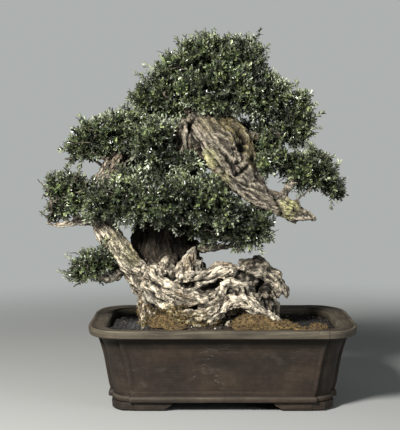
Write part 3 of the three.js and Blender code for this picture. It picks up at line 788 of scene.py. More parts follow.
def wear_of(mesh):
    """Rubbed places: the edge of the lip, a little of the rim's top and the moulding at the foot."""
    heights = np.array([(v.co.z - POT_LOW.z) / MM for v in mesh.vertices])
    flat = np.array([n.vector.z for n in mesh.vertex_normals])
    wear = step_up(heights, *LIP_EDGE) * (0.60 - 0.14 * step_up(flat, 0.5, 0.97))
    wear += 0.45 * step_up(heights, *TOP_EDGE)
    for strength, height, half_width in WORN_BANDS:
        wear += strength * np.exp(-(((heights - height) / half_width) ** 2))
    layer = mesh.attributes.new("wear", "FLOAT", "POINT")
    layer.data.foreach_set("value", np.clip(wear, 0, 1).astype(np.float32))


def build_pot(settings):
    clay = clay_material(settings)
    body = drilled(to_mesh(pot_body(), "pot_body"))
    feet = to_mesh(pot_feet(), "pot_feet")
    for mesh in (body, feet):
        smooth_shading(mesh)
        wear_of(mesh)
    settle(link("pot_body", body, clay), "pot_clay", "pot")
    piece = link("pot_feet", feet, clay)
    bevel = piece.modifiers.new("Soft edges", "BEVEL")
    bevel.width = FEET_EDGE
    bevel.segments = 3
    feet = applied(piece)
    for vert in feet.vertices:
        vert.co.z = max(vert.co.z, POT_LOW.z)
    settle(link("pot_feet", feet), "pot_clay")


# ------------------------------------------------------------------------------------ wood

# The limbs that the grain runs along: how much dark bark each still has, with painted shade added where a
# limb lies in shade, and the points of its line (across, back, up, radius), in millimetres from the middle of
# the pot.
LIMBS = (
    (1.0, (-92, 26, 226, 72), (-132, 44, 300, 78), (-140, 46, 366, 74), (-102, 26, 506, 52),
     (-62, 0, 620, 46)),
    (0.52, (-60, 0, 640, 42), (-24, -30, 602, 54), (38, -56, 512, 42), (100, -66, 456, 26),
     (210, -66, 416, 8)),
    (0.5, (-78, -30, 548, 20), (-91, -52, 588, 21), (-84, -56, 642, 6)),
    (0.45, (-46, -6, 652, 22), (34, -32, 614, 20), (66, -44, 556, 17), (58, -48, 524, 12)),
    (0.12, (-148, -28, 250, 38), (-206, -36, 306, 29), (-250, -38, 368, 27), (-283, -26, 442, 24)),
    (0.3, (-283, -26, 452, 24), (-272, -12, 494, 23), (-252, -4, 540, 20), (-196, 2, 612, 10)),
    (0.25, (-190, -26, 250, 30), (-100, -26, 234, 54), (-26, -22, 232, 58), (46, -18, 244, 56)),
    (0.0, (-170, -66, 276, 18), (-126, -84, 226, 22), (-88, -92, 202, 22), (-36, -96, 196, 22),
     (-4, -92, 216, 18)),
    (0.0, (-166, -60, 300, 20), (-124, -78, 260, 22), (-50, -86, 234, 19), (-20, -88, 216, 14)),
    (0.0, (-30, -96, 184, 18), (22, -92, 240, 17), (46, -92, 240, 17), (106, -102, 196, 14),
     (128, -104, 172, 12)),
    (0.0, (-18, -80, 216, 15), (-14, -80, 250, 15), (12, -78, 270, 14), (40, -76, 264, 14),
     (64, -76, 238, 12)),
    (0.0, (-106, -66, 276, 14), (-20, -68, 288, 18), (16, -54, 300, 17), (38, -42, 304, 10)),
    (0.0, (-92, -30, 268, 34), (-78, -34, 306, 24), (-64, -40, 354, 5)),
    (0.1, (-120, -30, 272, 30), (-128, -34, 304, 18), (-132, -36, 328, 6)),
    (0.1, (-140, -34, 282, 38), (-158, -42, 230, 34), (-150, -50, 150, 30)),
    (0.42, (46, -12, 282, 34), (82, -16, 288, 36), (112, -16, 266, 32), (122, -12, 240, 24)),
    (0.42, (86, -20, 240, 40), (100, -24, 200, 30), (108, -26, 160, 24)),
    (0.9, (-44, 52, 238, 44), (-34, 92, 190, 40), (-22, 108, 150, 28)),
    (0.9, (58, 34, 240, 46), (92, 66, 192, 36), (112, 84, 150, 24)),
    (0.9, (-112, 44, 240, 44), (-138, 74, 190, 34), (-152, 92, 150, 24)),
    (0.35, (-268, -32, 418, 13), (-306, -34, 410, 10), (-350, -36, 404, 8), (-404, -38, 406, 3)),
    (0.3, (-200, -36, 318, 13), (-252, -44, 284, 8), (-306, -46, 290, 3)),
)
GRAIN_STRETCH = 0.17  # how much shorter a pattern is across the grain than along it
GRAIN_TWIST = 3.0  # radians that the grain turns about its limb in a metre
LIMB_SHIFT = 3.0  # how far apart the limbs lie in the noise that draws their grain
BASE_ENDS, TREE_STARTS = 270, 360  # heights in millimetres between which the root mass's rough carving fades
CRACK_WIDTH = 0.1  # of the noise that draws the cracks
# How far the carving stands out or lies back, in metres: crags and flutes everywhere and on the root mass
# besides, the flutes of bark, fibres and chips.
CRAGS, FLUTES, BARK_FLUTES = (0.0012, 0.0034), (0.0009, 0.0027), 0.0035
FIBRES, CHIPS = 0.0009, 0.0015
CRAG_SIZE, FLUTE_SIZE, CHIP_SIZE, FIBRE_SIZE = 0.045, 0.026, 0.013, 0.0046
SPLIT_SIZE, SMALL_SPLIT_SIZE, RAGGED_SIZE, OPEN_SIZE = 0.0105, 0.005, 0.014, 0.05
NEAR_REACH, FAR_REACH = 3, 30  # neighbours over which a hollow or a worn edge is measured
# Depths and rises, in metres, over which the wood is darkened in hollows and gouges as painted shade, and
# pales on worn edges.
NEAR_HOLLOW, FAR_HOLLOW, GOUGE_HOLLOW = (0.0004, 0.0019), (0.002, 0.011), (0.003, 0.009)
NEAR_WORN, FAR_WORN = (0.0001, 0.0012), (0.0, 0.006)

# Strokes of the gouge on the front: half width, depth and points (across, up), in millimetres; a stroke of
# negative depth leaves a ridge.
GOUGES = (
    (4.5, 15, (-70, 648), (-72, 622), (-66, 595), (-55, 568), (-46, 548)), (9, 20, (42, 584), (44, 576)),
    (4, 9, (8, 562), (18, 540), (29, 515), (45, 526), (58, 540)), (5, 10, (2, 566), (14, 548), (24, 536)),
    (5, -3, (-2, 540), (14, 512), (34, 500)), (2.6, 6, (20, 552), (30, 536), (34, 520)),
    (2.6, 6, (4, 548), (22, 540), (42, 546)), (2.6, 5, (-20, 578), (-8, 566), (6, 562)),
    (2.6, 5, (-48, 588), (-40, 570), (-34, 560)), (2.6, 5, (46, 512), (56, 500), (70, 502)),
    (3.2, 8, (-62, 606), (-37, 573), (-11, 542), (16, 511), (41, 486), (93, 469)),
    (3.2, 7, (3, 520), (38, 500), (76, 485), (116, 473), (150, 457)),
    (3, 6, (-42, 622), (-20, 595), (-2, 568)),
    (3, 6, (-40, 545), (-17, 514), (12, 484), (47, 459), (87, 449)),
    (6, -4, (-50, 600), (-28, 565), (0, 528), (30, 497)), (4, 8, (-104, 600), (-92, 582), (-78, 570)),
    (6, 12, (-100, 266), (-73, 273), (-40, 278), (-11, 285)),
    (4, 8, (-171, 280), (-140, 268), (-104, 257), (-70, 250)),
    (4, 9, (-166, 250), (-129, 231), (-86, 219), (-44, 225), (-22, 242)),
    (3.5, 7, (-150, 300), (-120, 284), (-92, 280)), (3, 7, (-96, 318), (-88, 296), (-84, 284)),
    (3, 6, (-74, 330), (-64, 306), (-60, 292)), (7, 12, (66, 288), (74, 276)),
    (6, 12, (54, 262), (62, 250)), (6, 10, (92, 270), (98, 256)), (5, 9, (82, 240), (98, 228)),
    (4, 8, (40, 296), (52, 282)), (4, 8, (106, 284), (120, 272)), (4, 7, (20, 262), (34, 250), (52, 232)),
    (3.5, 6, (-8, 262), (8, 250), (16, 236)), (3, 8, (118, 464), (126, 449), (131, 428)),
    (4, 8, (160, 440), (168, 432), (173, 423)),
)

# Growths on the wood: golden moss or lichen, how strong it is, its radius and its middle, in millimetres.
WOOD_PLACES = (
    ("lichen", 0.5, 30, (-213, -60, 340)),
    ("gold", 0.9, 44, (30, -50, 628)),
    ("gold", 0.8, 40, (66, -60, 590)),
    ("gold", 0.6, 30, (62, -60, 545)),
    ("lichen", 0.75, 30, (-34, -84, 548)),
    ("lichen", 0.6, 28, (-6, -90, 500)),
    ("gold", 0.5, 40, (-20, -60, 640)),
    ("lichen", 0.85, 26, (146, -76, 442)),
    ("gold", 1.0, 44, (-150, -90, 178)),
    ("gold", 1.0, 48, (-110, -100, 178)),
    ("gold", 1.0, 40, (-60, -110, 174)),
    ("gold", 0.8, 30, (-20, -110, 168)),
    ("lichen", 0.25, 30, (-240, -60, 372)),
)


def dots(first, second):
    """The dot products of two lists of vectors."""
    return (first * second).sum(1)


def limb_path(line):
    """A smooth path through a limb: its middle points and radii in metres, directions, sides and lengths."""
    stations = np.array(line, float)
    steps = np.linspace(0, len(line) - 1, 10 * (len(line) - 1) + 1)
    path = np.stack([np.interp(steps, range(len(line)), column) for column in stations.T], 1)
    for _ in range(20):
        path[1:-1] = (path[:-2] + 2 * path[1:-1] + path[2:]) / 4
    middles = path[:, :3] * MM + np.array(POT_MIDDLE)
    ahead = np.gradient(middles, axis=0)
    ahead /= np.linalg.norm(ahead, axis=1, keepdims=True)
    side, sides = np.array((0.3, 0.9, -0.3)), []
    for direction in ahead:
        side = side - direction * (side @ direction)
        side /= np.linalg.norm(side)
        sides.append(side)
    lengths = np.concatenate([[0], np.cumsum(np.linalg.norm(np.diff(middles, axis=0), axis=1))])
    return middles, path[:, 3] * MM, ahead, np.array(sides), lengths


def grain_of(points):
    """Each point in the measure of its limb, along the grain and twice across it, and its limb's bark with
    painted shade.
    """
    nearest = np.full(len(points), np.inf)
    grain, bark_and_shade = np.zeros((len(points), 3)), np.zeros(len(points))
    for number, (left, *line) in enumerate(LIMBS):
        middles, radii, ahead, sides, lengths = limb_path(line)
        squares = (points**2).sum(1)[:, None] - 2 * points @ middles.T + (middles**2).sum(1)
        away = np.sqrt(np.maximum(squares, 0)) - radii
        at = away.argmin(1)
        offset = points - middles[at]
        along = lengths[at] + dots(offset, ahead[at])
        a, b = dots(offset, sides[at]), dots(offset, np.cross(ahead[at], sides[at]))
        turn = GRAIN_TWIST * along
        cosine, sine = np.cos(turn), np.sin(turn)
        own = np.stack([along + LIMB_SHIFT * number, a * cosine - b * sine, a * sine + b * cosine], 1)
        closer = away.min(1) < nearest
        nearest[closer], grain[closer], bark_and_shade[closer] = away.min(1)[closer], own[closer], left
    return grain, bark_and_shade


def away_from_line(places, line):
    """The distance of places in the plane from a line of points."""
    nearest = np.full(len(places), np.inf)
    for start, end in zip(line[:-1], line[1:]):
        run = end - start
        share = np.clip((places - start) @ run / (run @ run + 1e-12), 0, 1)
        nearest = np.minimum(nearest, np.linalg.norm(places - start - share[:, None] * run, axis=1))
    return nearest


def gouged(skin, ragged):
    """How deep the strokes of the gouge cut at each point, in metres."""
    front = step_up(-skin.normals()[:, 1], -0.2, 0.3)
    places = (skin.points - np.array(POT_MIDDLE))[:, [0, 2]] / MM
    depth = np.zeros(skin.count)
    for half_width, deep, *line in GOUGES:
        away = away_from_line(places, np.array(line, float)) / half_width * (1 + 0.9 * ragged)
        depth += deep * MM * np.exp(-(away**2))
    return depth * front


def ridges(point):
    return noise.ridged_multi_fractal(point, 0.9, 2.1, 4, 0.9, 2.0)


def even(values):
    """Values shifted and scaled to a mean of 0 and a spread of 1."""
    return (values - values.mean()) / values.std()


def carve_wood(skin, settings):
    """Crags, flutes, cracks and fibres along the grain; stores dark cracks with painted shade in the hollows,
    where it is worn, and its bark with painted shade on limbs in shade.
    """
    grain, bark_and_shade = grain_of(skin.points)
    ragged = skin.sample(noise.noise, RAGGED_SIZE, 9)
    drawn = grain * (GRAIN_STRETCH, 1, 1)
    for across, seed in ((1, 7), (2, 8)):
        drawn[:, across] += 0.009 * skin.sample(noise.noise, 0.055, seed)
    short = drawn * (1.6, 1, 1)
    height = (skin.points[:, 2] - POT_LOW.z) / MM
    base = 1 - step_up(height, BASE_ENDS, TREE_STARTS)
    crag = even(skin.sample(ridges, CRAG_SIZE, 1))
    chips = even(skin.sample(ridges, CHIP_SIZE, 10, grain * (0.45, 1, 1)))
    flutes = even(skin.sample(ridges, FLUTE_SIZE, 2, drawn))
    splits = skin.sample(noise.noise, SPLIT_SIZE, 3, short)
    splits += 0.4 * skin.sample(noise.noise, SMALL_SPLIT_SIZE, 4, short)
    fine = even(skin.sample(noise.noise, FIBRE_SIZE, 5, short))
    open_here = step_up(skin.sample(noise.noise, OPEN_SIZE, 6), -0.45, 0.15)
    cracks = np.exp(-((splits / CRACK_WIDTH) ** 2)) * (0.4 + 0.6 * open_here)
    cut = gouged(skin, ragged) * (0.45 + 0.55 * open_here)
    lift = np.tanh(crag) * (CRAGS[0] + CRAGS[1] * base) + np.tanh(flutes) * (FLUTES[0] + FLUTES[1] * base)
    lift += FIBRES * np.tanh(fine) - CHIPS * np.tanh(chips) - settings.crack_depth * cracks - cut
    lift += BARK_FLUTES * np.tanh(flutes) * bark_and_shade
    skin.points += skin.normals() * lift[:, None]
    near = skin.hollowness(NEAR_REACH)
    far = skin.hollowness(FAR_REACH)
    # Real dark cracks, and painted shade in near and far hollows.
    crack_and_shade = 0.55 * cracks + step_up(near, *NEAR_HOLLOW) + 0.75 * step_up(far, *FAR_HOLLOW)
    skin.store("crack_and_shade", crack_and_shade + step_up(cut, *GOUGE_HOLLOW))
    worn = step_up(-near, *NEAR_WORN) + 0.45 * step_up(-far, *FAR_WORN)
    skin.store("fibre", 0.34 + 0.12 * np.tanh(fine) + 0.12 * np.tanh(flutes) + 0.48 * worn)
    # Stores the limbs' bark, with painted shade on those in shade.
    skin.store("bark_and_shade", skin.spread(bark_and_shade, 5) + 0.1 * ragged)
    skin.store("grain", short)


def paint_wood(skin):
    """Stores where golden moss and lichen grow."""
    ragged = skin.sample(noise.noise, 0.02, 4) + 0.5 * skin.sample(noise.noise, 0.006, 5)
    masks = {"gold": 0.0, "lichen": 0.0}
    for growth, strength, radius, centre in WOOD_PLACES:
        away = np.linalg.norm(skin.points - np.array(spot(*centre)), axis=1) / (radius * MM)
        place = 1 - step_up(away + 0.5 * ragged, 0.5, 1.2)
        masks[growth] = np.maximum(masks[growth], strength * place)
    for growth, mask in masks.items():
        skin.store(growth, mask)


def build_wood(settings):
    """The wood in one skin, sharpened a little and then carved along its grain."""
    skin = Skin(to_mesh(largest_skin(to_mesh(copy_node("trunk"), "trunk"), settings.voxel), "trunk_wood"))
    for _ in range(3):
        skin.points = skin.spread(skin.points, 3) * 1.6 - skin.spread(skin.points, 9) * 0.6
    carve_wood(skin, settings)
    paint_wood(skin)
    skin.normals()
    smooth_shading(skin.mesh)
    settle(link("trunk_wood", skin.mesh, wood_material(settings)), "wood", "trunk")


# ------------------------------------------------------------------------------------ leaves

SHORT_KINDS, LONG_KINDS = 6, 2  # kinds of sprigs
SHORT_PITCH, LONG_PITCH = 4.2 * MM, 5.4 * MM  # between the pairs of leaves
LONG_PAIRS = 8  # pairs of leaves on a long shoot
STEM, STEM_TIP = 0.0008, 0.0003  # radius of a sprig's twig at both ends
LEAF_SIZES, END_LEAF = (0.8, 1.15), 0.72  # drawn sizes, and how much smaller the end pair is
LEAF_RISE, END_RISE = (22, 52), (58, 72)  # degrees that a leaf rises from the level, and one of the end pair
LONG_SHARE = 0.07  # share of the sprigs that are long shoots
SWELL, DRAW_IN = 0.012, 0.0065  # how far a pad is swollen to melt its blades, and its skin then drawn in
BLADE_VOXEL, PAD_VOXEL, PLACE_VOXEL = 0.0055, 0.0080, 0.0140  # of the three skins that a pad is made from
BLADE_SMOOTHING, PAD_SMOOTHING = 10, 8  # times that the first and the second of them are smoothed
LUMPS = 0.011  # how far the tufts of a pad stand out and its hollows lie back
LUMP_SIZE, SMALL_LUMP_SIZE = 0.045, 0.02
CORE_WOBBLE, WOBBLE_SIZE = 0.006, 0.016  # of the dark core of painted shade inside a pad
SPRIG_JITTER, SPRIG_SIZES = 0.006, (0.78, 1.15)
LEAN_OUT, LEAN_UP, LEAN_LOOSE = 0.85, 0.35, 0.75  # how much of each there is in the way that a sprig points
INNER_DEPTH, INNER_PAINTED_SHADE = 0.012, 0.3  # how much deeper the inner sprigs start, and the share of their colour that painted shade leaves them
FRONT_SHARES, BACK_SHARES = (0.95, 0.44), (0.78, 0.28)  # share of the places with an outer and an inner sprig
TIP_REACH, LONG_TIP_REACH = 0.036, 0.056  # of a short sprig and a long shoot
BOX_MARGIN = 0.011  # how far inside the solids' box a sprig's tip stays
BURIED = 0.012  # a tip that lies deeper than this inside another pad is left out
PAD_PAINTED_SHADE = {"leaves_lower_right": 0.70, "leaves_middle": 0.88}  # painted shade: the share of their colour left to the leaves of low pads

# Small clouds of leaves on branchlets that reach out of a pad: the pad, the cloud's centre and its radii, in
# millimetres from the middle of the pot.
CLOUDS = (
    ("leaves_far_left", (-382, -24, 490), (28, 30, 28)),
    ("leaves_far_left", (-378, -30, 424), (32, 26, 14)),
    ("leaves_far_left", (-296, -40, 456), (36, 44, 36)),
    ("leaves_middle", (-196, -32, 508), (46, 40, 30)),
    ("leaves_middle", (-140, -42, 516), (44, 28, 28)),
    ("leaves_upper_left", (-92, -72, 546), (38, 26, 28)),
    ("leaves_upper_left", (-322, -14, 564), (40, 34, 24)),
    ("leaves_right_upper", (98, -20, 578), (30, 40, 44)),
    ("leaves_right_upper", (182, -4, 682), (24, 26, 24)),
    ("leaves_right", (92, -60, 532), (24, 24, 28)),
    ("leaves_right", (274, -24, 468), (24, 22, 18)),
    ("leaves_lower_left", (-330, -40, 288), (28, 28, 20)),
    ("leaves_lower_left", (-248, -40, 314), (26, 26, 24)),
)

# Windows in the leaves through which the wood shows: middle across and up, half sizes, and the depth before
# which they are clear, in millimetres from the middle of the pot.
WINDOWS = (
    ((-88, 602), (24, 34), -10),
    ((-8, 608), (46, 26), -30),
    ((14, 565), (48, 34), -40),
    ((36, 525), (46, 30), -50),
    ((72, 484), (52, 20), -60),
)


def leaf_in(bm, layer, matrix, length, width, shade):
    """A folded, slightly arched leaf that starts at the matrix's origin and runs along its X."""
    verts = bmesh.ops.create_circle(bm, cap_ends=True, segments=6, radius=1.0)["verts"]
    ends = [min(verts, key=lambda v: v.co.x), max(verts, key=lambda v: v.co.x)]
    bmesh.ops.connect_vert_pair(bm, verts=ends)
    for vert in verts:
        x, y = vert.co.x, vert.co.y
        vert.co = ((x + 1) * length / 2, y * width / 1.73, 0.26 * width * abs(y) - 0.06 * length * x * x)
        vert[layer] = shade
    bmesh.ops.transform(bm, matrix=matrix, verts=verts)


def make_sprig(kind, settings):
    """A twig with opposite pairs of leaves, each pair turned a quarter from the last."""
    draw = random.Random(100 + kind)
    pairs, pitch = (4 + kind % 3, SHORT_PITCH) if kind < SHORT_KINDS else (LONG_PAIRS, LONG_PITCH)
    bm = with_layers("leaf", "tint", "open")
    layer = bm.verts.layers.float["leaf"]
    reach = pitch * (pairs + 0.4)
    middle = Matrix.Translation((0, 0, reach / 2))
    bmesh.ops.create_cone(bm, segments=3, radius1=STEM, radius2=STEM_TIP, depth=reach, matrix=middle)
    for face in bm.faces:
        face.material_index = 1
    turn = draw.uniform(0, math.tau)
    for pair in range(pairs + 1):
        up = pitch * (pair + 0.6)
        last = pair == pairs
        for side in (0, math.pi):
            size = draw.uniform(*LEAF_SIZES) * (END_LEAF if last else 1.0)
            rise = math.radians(draw.uniform(*(END_RISE if last else LEAF_RISE)))
            matrix = (
                Matrix.Translation((0, 0, up))
                @ Matrix.Rotation(turn + side + draw.uniform(-0.35, 0.35), 4, "Z")
                @ Matrix.Rotation(-rise, 4, "Y")
                @ Matrix.Rotation(draw.uniform(-0.6, 0.6), 4, "X")
                @ Matrix.Translation((STEM, 0, 0))
            )
            shade = min(1.0, max(0.0, draw.gauss(0.34 + 0.05 * pair, 0.27)))
            leaf_in(bm, layer, matrix, settings.long * size, settings.wide * size, shade)
        turn += math.pi / 2
    return to_mesh(bm, f"sprig_{kind}")


def pad_skin(name):
    """An even skin over the body of a pad and its clouds, its blades melted into it, as a bmesh, with painted
    light and shade at each point.
    """
    body = Skin(to_mesh(largest_skin(to_mesh(copy_node(name), name), BLADE_VOXEL), name))
    body.points = body.spread(body.points, BLADE_SMOOTHING)
    body.points += body.normals() * SWELL
    body.normals()
    bm = bmesh.new()
    bm.from_mesh(body.mesh)
    for pad, centre, radii in CLOUDS:
        if pad == name:
            size = Matrix.Diagonal((*(radius * MM + DRAW_IN for radius in radii), 1.0))
            place = Matrix.Translation(spot(*centre)) @ size
            bmesh.ops.create_icosphere(bm, subdivisions=3, radius=1.0, matrix=place)
    whole = Skin(remeshed(to_mesh(bm, name + "_melted"), PAD_VOXEL))
    whole.points = whole.spread(whole.points, PAD_SMOOTHING)
    whole.normals()
    bm = largest_skin(whole.mesh, PLACE_VOXEL)
    bm.normal_update()
    lump_light = bm.verts.layers.float.new("open")
    for vert in bm.verts:
        lump = noise.noise(vert.co / LUMP_SIZE) + 0.5 * noise.noise(vert.co / SMALL_LUMP_SIZE)
        # Painted light: tufts that stand out are lighter, hollows darker.
        vert[lump_light] = min(1.0, max(0.0, 0.55 + 1.1 * lump))
        vert.co += vert.normal * (LUMPS * lump - DRAW_IN)
    bm.normal_update()
    return bm


def sprig_places(bm, draw, depth, share):
    """Places for sprigs at a share of a skin's points and a depth below it: a matrix and the painted light of
    its point.
    """
    lump_light = bm.verts.layers.float["open"]
    for vert in bm.verts:
        if draw.random() > share:
            continue
        jitter = random_vector(draw, SPRIG_JITTER)
        lean = LEAN_OUT * vert.normal + LEAN_UP * UP + LEAN_LOOSE * random_vector(draw, 1)
        size = draw.uniform(*SPRIG_SIZES)
        roll = Matrix.Rotation(draw.uniform(0, math.tau), 4, "Z")
        start = vert.co + jitter - vert.normal * depth
        yield Matrix.Translation(start) @ turned_to(lean) @ roll @ Matrix.Scale(size, 4), vert[lump_light]


def in_window(tip):
    """True where leaves would hide the wood that shows at the front."""
    across, back, up = (tip - POT_MIDDLE) / MM
    for (x, z), (half_x, half_z), behind in WINDOWS:
        if back < behind and ((across - x) / half_x) ** 2 + ((up - z) / half_z) ** 2 < 1:
            return True
    return False


def inside_box(tip):
    low, high = CAD_BOX
    return all(low[i] + BOX_MARGIN <= tip[i] <= high[i] - BOX_MARGIN for i in range(3))


def grow_pad(name, skin, sprigs, materials, settings, buried):
    """One pad: a dark core of painted shade, and sprigs all round it."""
    draw = random.Random(name)
    pad = with_layers("leaf", "tint", "open")
    outer, inner = BACK_SHARES if name.endswith("back") else FRONT_SHARES
    # Painted shade: low pads and their inner sprigs are darkened.
    sky = PAD_PAINTED_SHADE.get(name, 1.0)
    rings = ((settings.sunk, outer, sky), (settings.sunk + INNER_DEPTH, inner, INNER_PAINTED_SHADE * sky))
    for depth, share, lit in rings:
        for matrix, lump_light in sprig_places(skin, draw, depth, share):
            if draw.random() < LONG_SHARE:
                kind, reach = SHORT_KINDS + draw.randrange(LONG_KINDS), LONG_TIP_REACH
            else:
                kind, reach = draw.randrange(SHORT_KINDS), TIP_REACH
            tip = matrix @ Vector((0, 0, reach))
            if not buried(tip, name) and not in_window(tip) and inside_box(tip):
                stamp(pad, sprigs[kind], matrix, tint=draw.random(), open=lit * lump_light)
    # The dark core of painted shade, drawn in below the sprigs.
    for vert in skin.verts:
        wobble = CORE_WOBBLE * noise.noise(vert.co / WOBBLE_SIZE)
        vert.co -= vert.normal * (settings.core_depth + wobble)
    for face in skin.faces:
        face.material_index = 2
    core = to_mesh(skin, "core")
    pad.from_mesh(core)
    bpy.data.meshes.remove(core)
    mesh = to_mesh(pad, name + "_sprigs")
    settle(link(mesh.name, mesh, *materials), "leaves", name)


def build_leaves(settings):
    sprigs = [make_sprig(kind, settings) for kind in range(SHORT_KINDS + LONG_KINDS)]
    materials = (leaf_material(settings), plain_material("Twigs"), plain_material("Painted shade core"))
    skins = {name: pad_skin(name) for name in LEAF_NODES}
    trees = {name: BVHTree.FromBMesh(skin) for name, skin in skins.items()}

    def buried(tip, own):
        """True where the tip of a sprig lies deep inside another pad."""
        for name, tree in trees.items():
            if name == own:
                continue
            near, normal, _, distance = tree.find_nearest(tip)
            if distance > BURIED and (tip - near).dot(normal) < 0:
                return True
        return False

    for name, skin in skins.items():
        grow_pad(name, skin, sprigs, materials, settings, buried)
    for sprig in sprigs:
        bpy.data.meshes.remove(sprig)


# ------------------------------------------------------------------------------------ twigs

# Bare twigs: the radius at both ends and the way, in millimetres from the middle of the pot.
BARE_TWIGS = (
    (4.5, 1.4, ((-262, -14, 528), (-290, -22, 548), (-326, -28, 557), (-358, -30, 552))),
    (3.0, 1.0, ((-300, -24, 552), (-330, -34, 562), (-352, -40, 574))),
    (2.2, 0.7, ((-366, -30, 466), (-398, -32, 480), (-420, -30, 506))),
    (2.0, 0.7, ((-356, -36, 406), (-364, -36, 434), (-388, -38, 456))),
    (2.4, 0.8, ((-372, -38, 404), (-392, -38, 414), (-416, -40, 434))),
    (3.0, 0.9, ((-286, -44, 292), (-318, -48, 276), (-338, -48, 262))),
    (3.0, 1.0, ((158, -72, 452), (176, -72, 470), (204, -60, 492))),
)
BRANCHLETS, TWIGLETS = 6, 14  # of each pad
LONGEST_BRANCHLET = 0.15
# Radius at both ends and number of sides of a branchlet, of its forks and of a twiglet.
BRANCH, FORK, TWIGLET = (0.0042, 0.0016, 6), (0.0022, 0.0008, 5), (0.0016, 0.0005, 4)
# No branchlet starts right of a place and below a height, in millimetres: on the dead point, and on the root
# mass and the foot of the trunk.
BARE_WOOD = ((105.0, 470.0), (-228.0, 385.0))


def tube(bm, points, thick, thin, sides):
    """A thin branch through points, as tapering pieces set end to end."""
    count = len(points) - 1
    for k in range(count):
        run = points[k + 1] - points[k]
        bmesh.ops.create_cone(
            bm,
            cap_ends=True,
            segments=sides,
            radius1=thick + (thin - thick) * k / count,
            radius2=thick + (thin - thick) * (k + 1) / count,
            depth=run.length * 1.06,
            matrix=Matrix.Translation((points[k] + points[k + 1]) / 2) @ turned_to(run),
        )


def wander(draw, start, end, pieces, sway):
    """Points on the way from one place to another, most off the straight line at its middle."""
    phase = random_vector(draw, 9)
    points = []
    for k in range(pieces + 1):
        t = k / pieces
        off = Vector([noise.noise(phase + Vector((2.5 * t, 7.0 * axis, 0))) for axis in range(3)])
        points.append(start.lerp(end, t) + off * sway * math.sin(math.pi * t))
    return points


def build_twigs():
    """Branchlets from the wood into each pad, twiglets at its edge, and bare twigs."""
    wood = surface_of("trunk")
    draw = random.Random(51)
    bm = bmesh.new()
    for name in LEAF_NODES:
        low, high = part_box(name)
        middle, half = (low + high) / 2, (high - low) / 2
        for _ in range(BRANCHLETS):
            inside = Vector([draw.uniform(-0.5, 0.5) * half[axis] for axis in range(3)])
            end = middle + inside - Vector((0, 0, 0.25 * half.z))
            start = wood.find_nearest(end - Vector((0, 0, 0.6 * half.z)))[0]
            across, _, up = (start - POT_MIDDLE) / MM
            bare = any(across > left and up < top for left, top in BARE_WOOD)
            if (end - start).length > LONGEST_BRANCHLET or bare:
                continue
            way = wander(draw, start, end, 7, 0.03)
            tube(bm, way, *BRANCH)
            for place in (way[3], way[5]):
                tip = end + Vector([draw.uniform(-0.4, 0.4) * half[axis] for axis in range(3)])
                tip.z = max(tip.z, middle.z - 0.45 * half.z)
                tube(bm, wander(draw, place, tip, 5, 0.015), *FORK)
        for _ in range(TWIGLETS):
            out = random_direction(draw)
            out.z = min(out.z, 0.5)
            ends = [middle + Vector([out[i] * half[i] * share for i in range(3)]) for share in (0.5, 0.84)]
            tube(bm, wander(draw, *ends, 4, 0.01), *TWIGLET)
    for thick, thin, line in BARE_TWIGS:
        stations = [spot(*station) for station in line]
        for start, end in zip(stations[:-1], stations[1:]):
            part = wander(draw, start, end, 4, 0.006)
            halfway = 0.5 * (thick + thin)
            tube(bm, part, thick * MM, halfway * MM, 6)
            thick = halfway
    mesh = to_mesh(bm, "twigs")
    smooth_shading(mesh)
    settle(link("twigs", mesh, plain_material("Twigs")), "wood")


# ------------------------------------------------------------------------------------ soil, net and moss

ABOVE_SOIL = 0.4  # height in metres from which the soil is looked for
SOIL_VOXEL, MOSS_VOXEL, NET_PITCH, STRAND = 0.0066, 0.003, 0.0100, 0.0024
CRUMBS, CRUMBS_SUNK = 0.0012, 0.0008  # how far the soil's crumbs stand out, and how far they are set down
LUMPS_OF_MOSS, MOSS_SUNK = 0.0022, 0.0012  # the same of the moss
NET_LIFT, NET_SAG = 0.0016, 0.0012  # how high the net lies over the soil, and its own rise and fall
TUFT_SPIKES, TUFT_SIZES = 6, (0.0028, 0.0056)
GRAIN_TRIES, GRAIN_SIZES = 3000, (0.0012, 0.0030)
TEMPLATES = 5  # kinds of grains, and of tufts
SOIL_EDGE = 0.004  # soil further below its top than this is bare of grains and net
HEAP_TUFTS, SKIRT_TUFTS = 0.28, 0.55  # share of the points of heaps, and of the wood's foot, with a tuft
SKIRT_TOP = 222.0  # height to which moss climbs the foot of the wood, in millimetres
SKIRT_MIDDLE, SKIRT_FRONT = -150, -40  # the moss climbs highest at the first, and only before the second


def height_over(surface, x, y):
    """The height of a surface at a place, or None where it has none."""
    hit = surface.ray_cast(Vector((x, y, ABOVE_SOIL)), -UP)[0]
    return hit.z if hit else None


def build_soil():
    bm = largest_skin(to_mesh(copy_node("soil"), "soil"), SOIL_VOXEL)
    bm.normal_update()
    for vert in bm.verts:
        if vert.normal.z > 0.3 and vert.co.z > SOIL_TOP - 0.01:
            crumb = noise.noise(vert.co / 0.009) + 0.6 * noise.noise(vert.co / 0.004)
            vert.co.z += CRUMBS * crumb - CRUMBS_SUNK
    mesh = to_mesh(bm, "soil_bed")
    smooth_shading(mesh)
    settle(link("soil_bed", mesh, plain_material("Damp soil")), "soil", "soil")


def scatter(name, templates, places, material, seed):
    """Copies of small templates at the given matrices, each with a tint of its own, in one mesh."""
    draw = random.Random(seed)
    bm = bmesh.new()
    for matrix in places:
        template = templates[draw.randrange(len(templates))]
        stamp(bm, template, matrix, tint=draw.random())
    for template in templates:
        bpy.data.meshes.remove(template)
    return link(name, to_mesh(bm, name), material)


def random_turn(draw):
    axis = random_direction(draw)
    return Matrix.Rotation(draw.uniform(0, math.tau), 4, axis)


def make_grain(seed):
    draw = random.Random(seed)
    bm = with_layers("tint")
    bmesh.ops.create_icosphere(bm, subdivisions=1, radius=1.0)
    for vert in bm.verts:
        vert.co *= draw.uniform(0.7, 1.1)
    return to_mesh(bm, f"grain_{seed}")


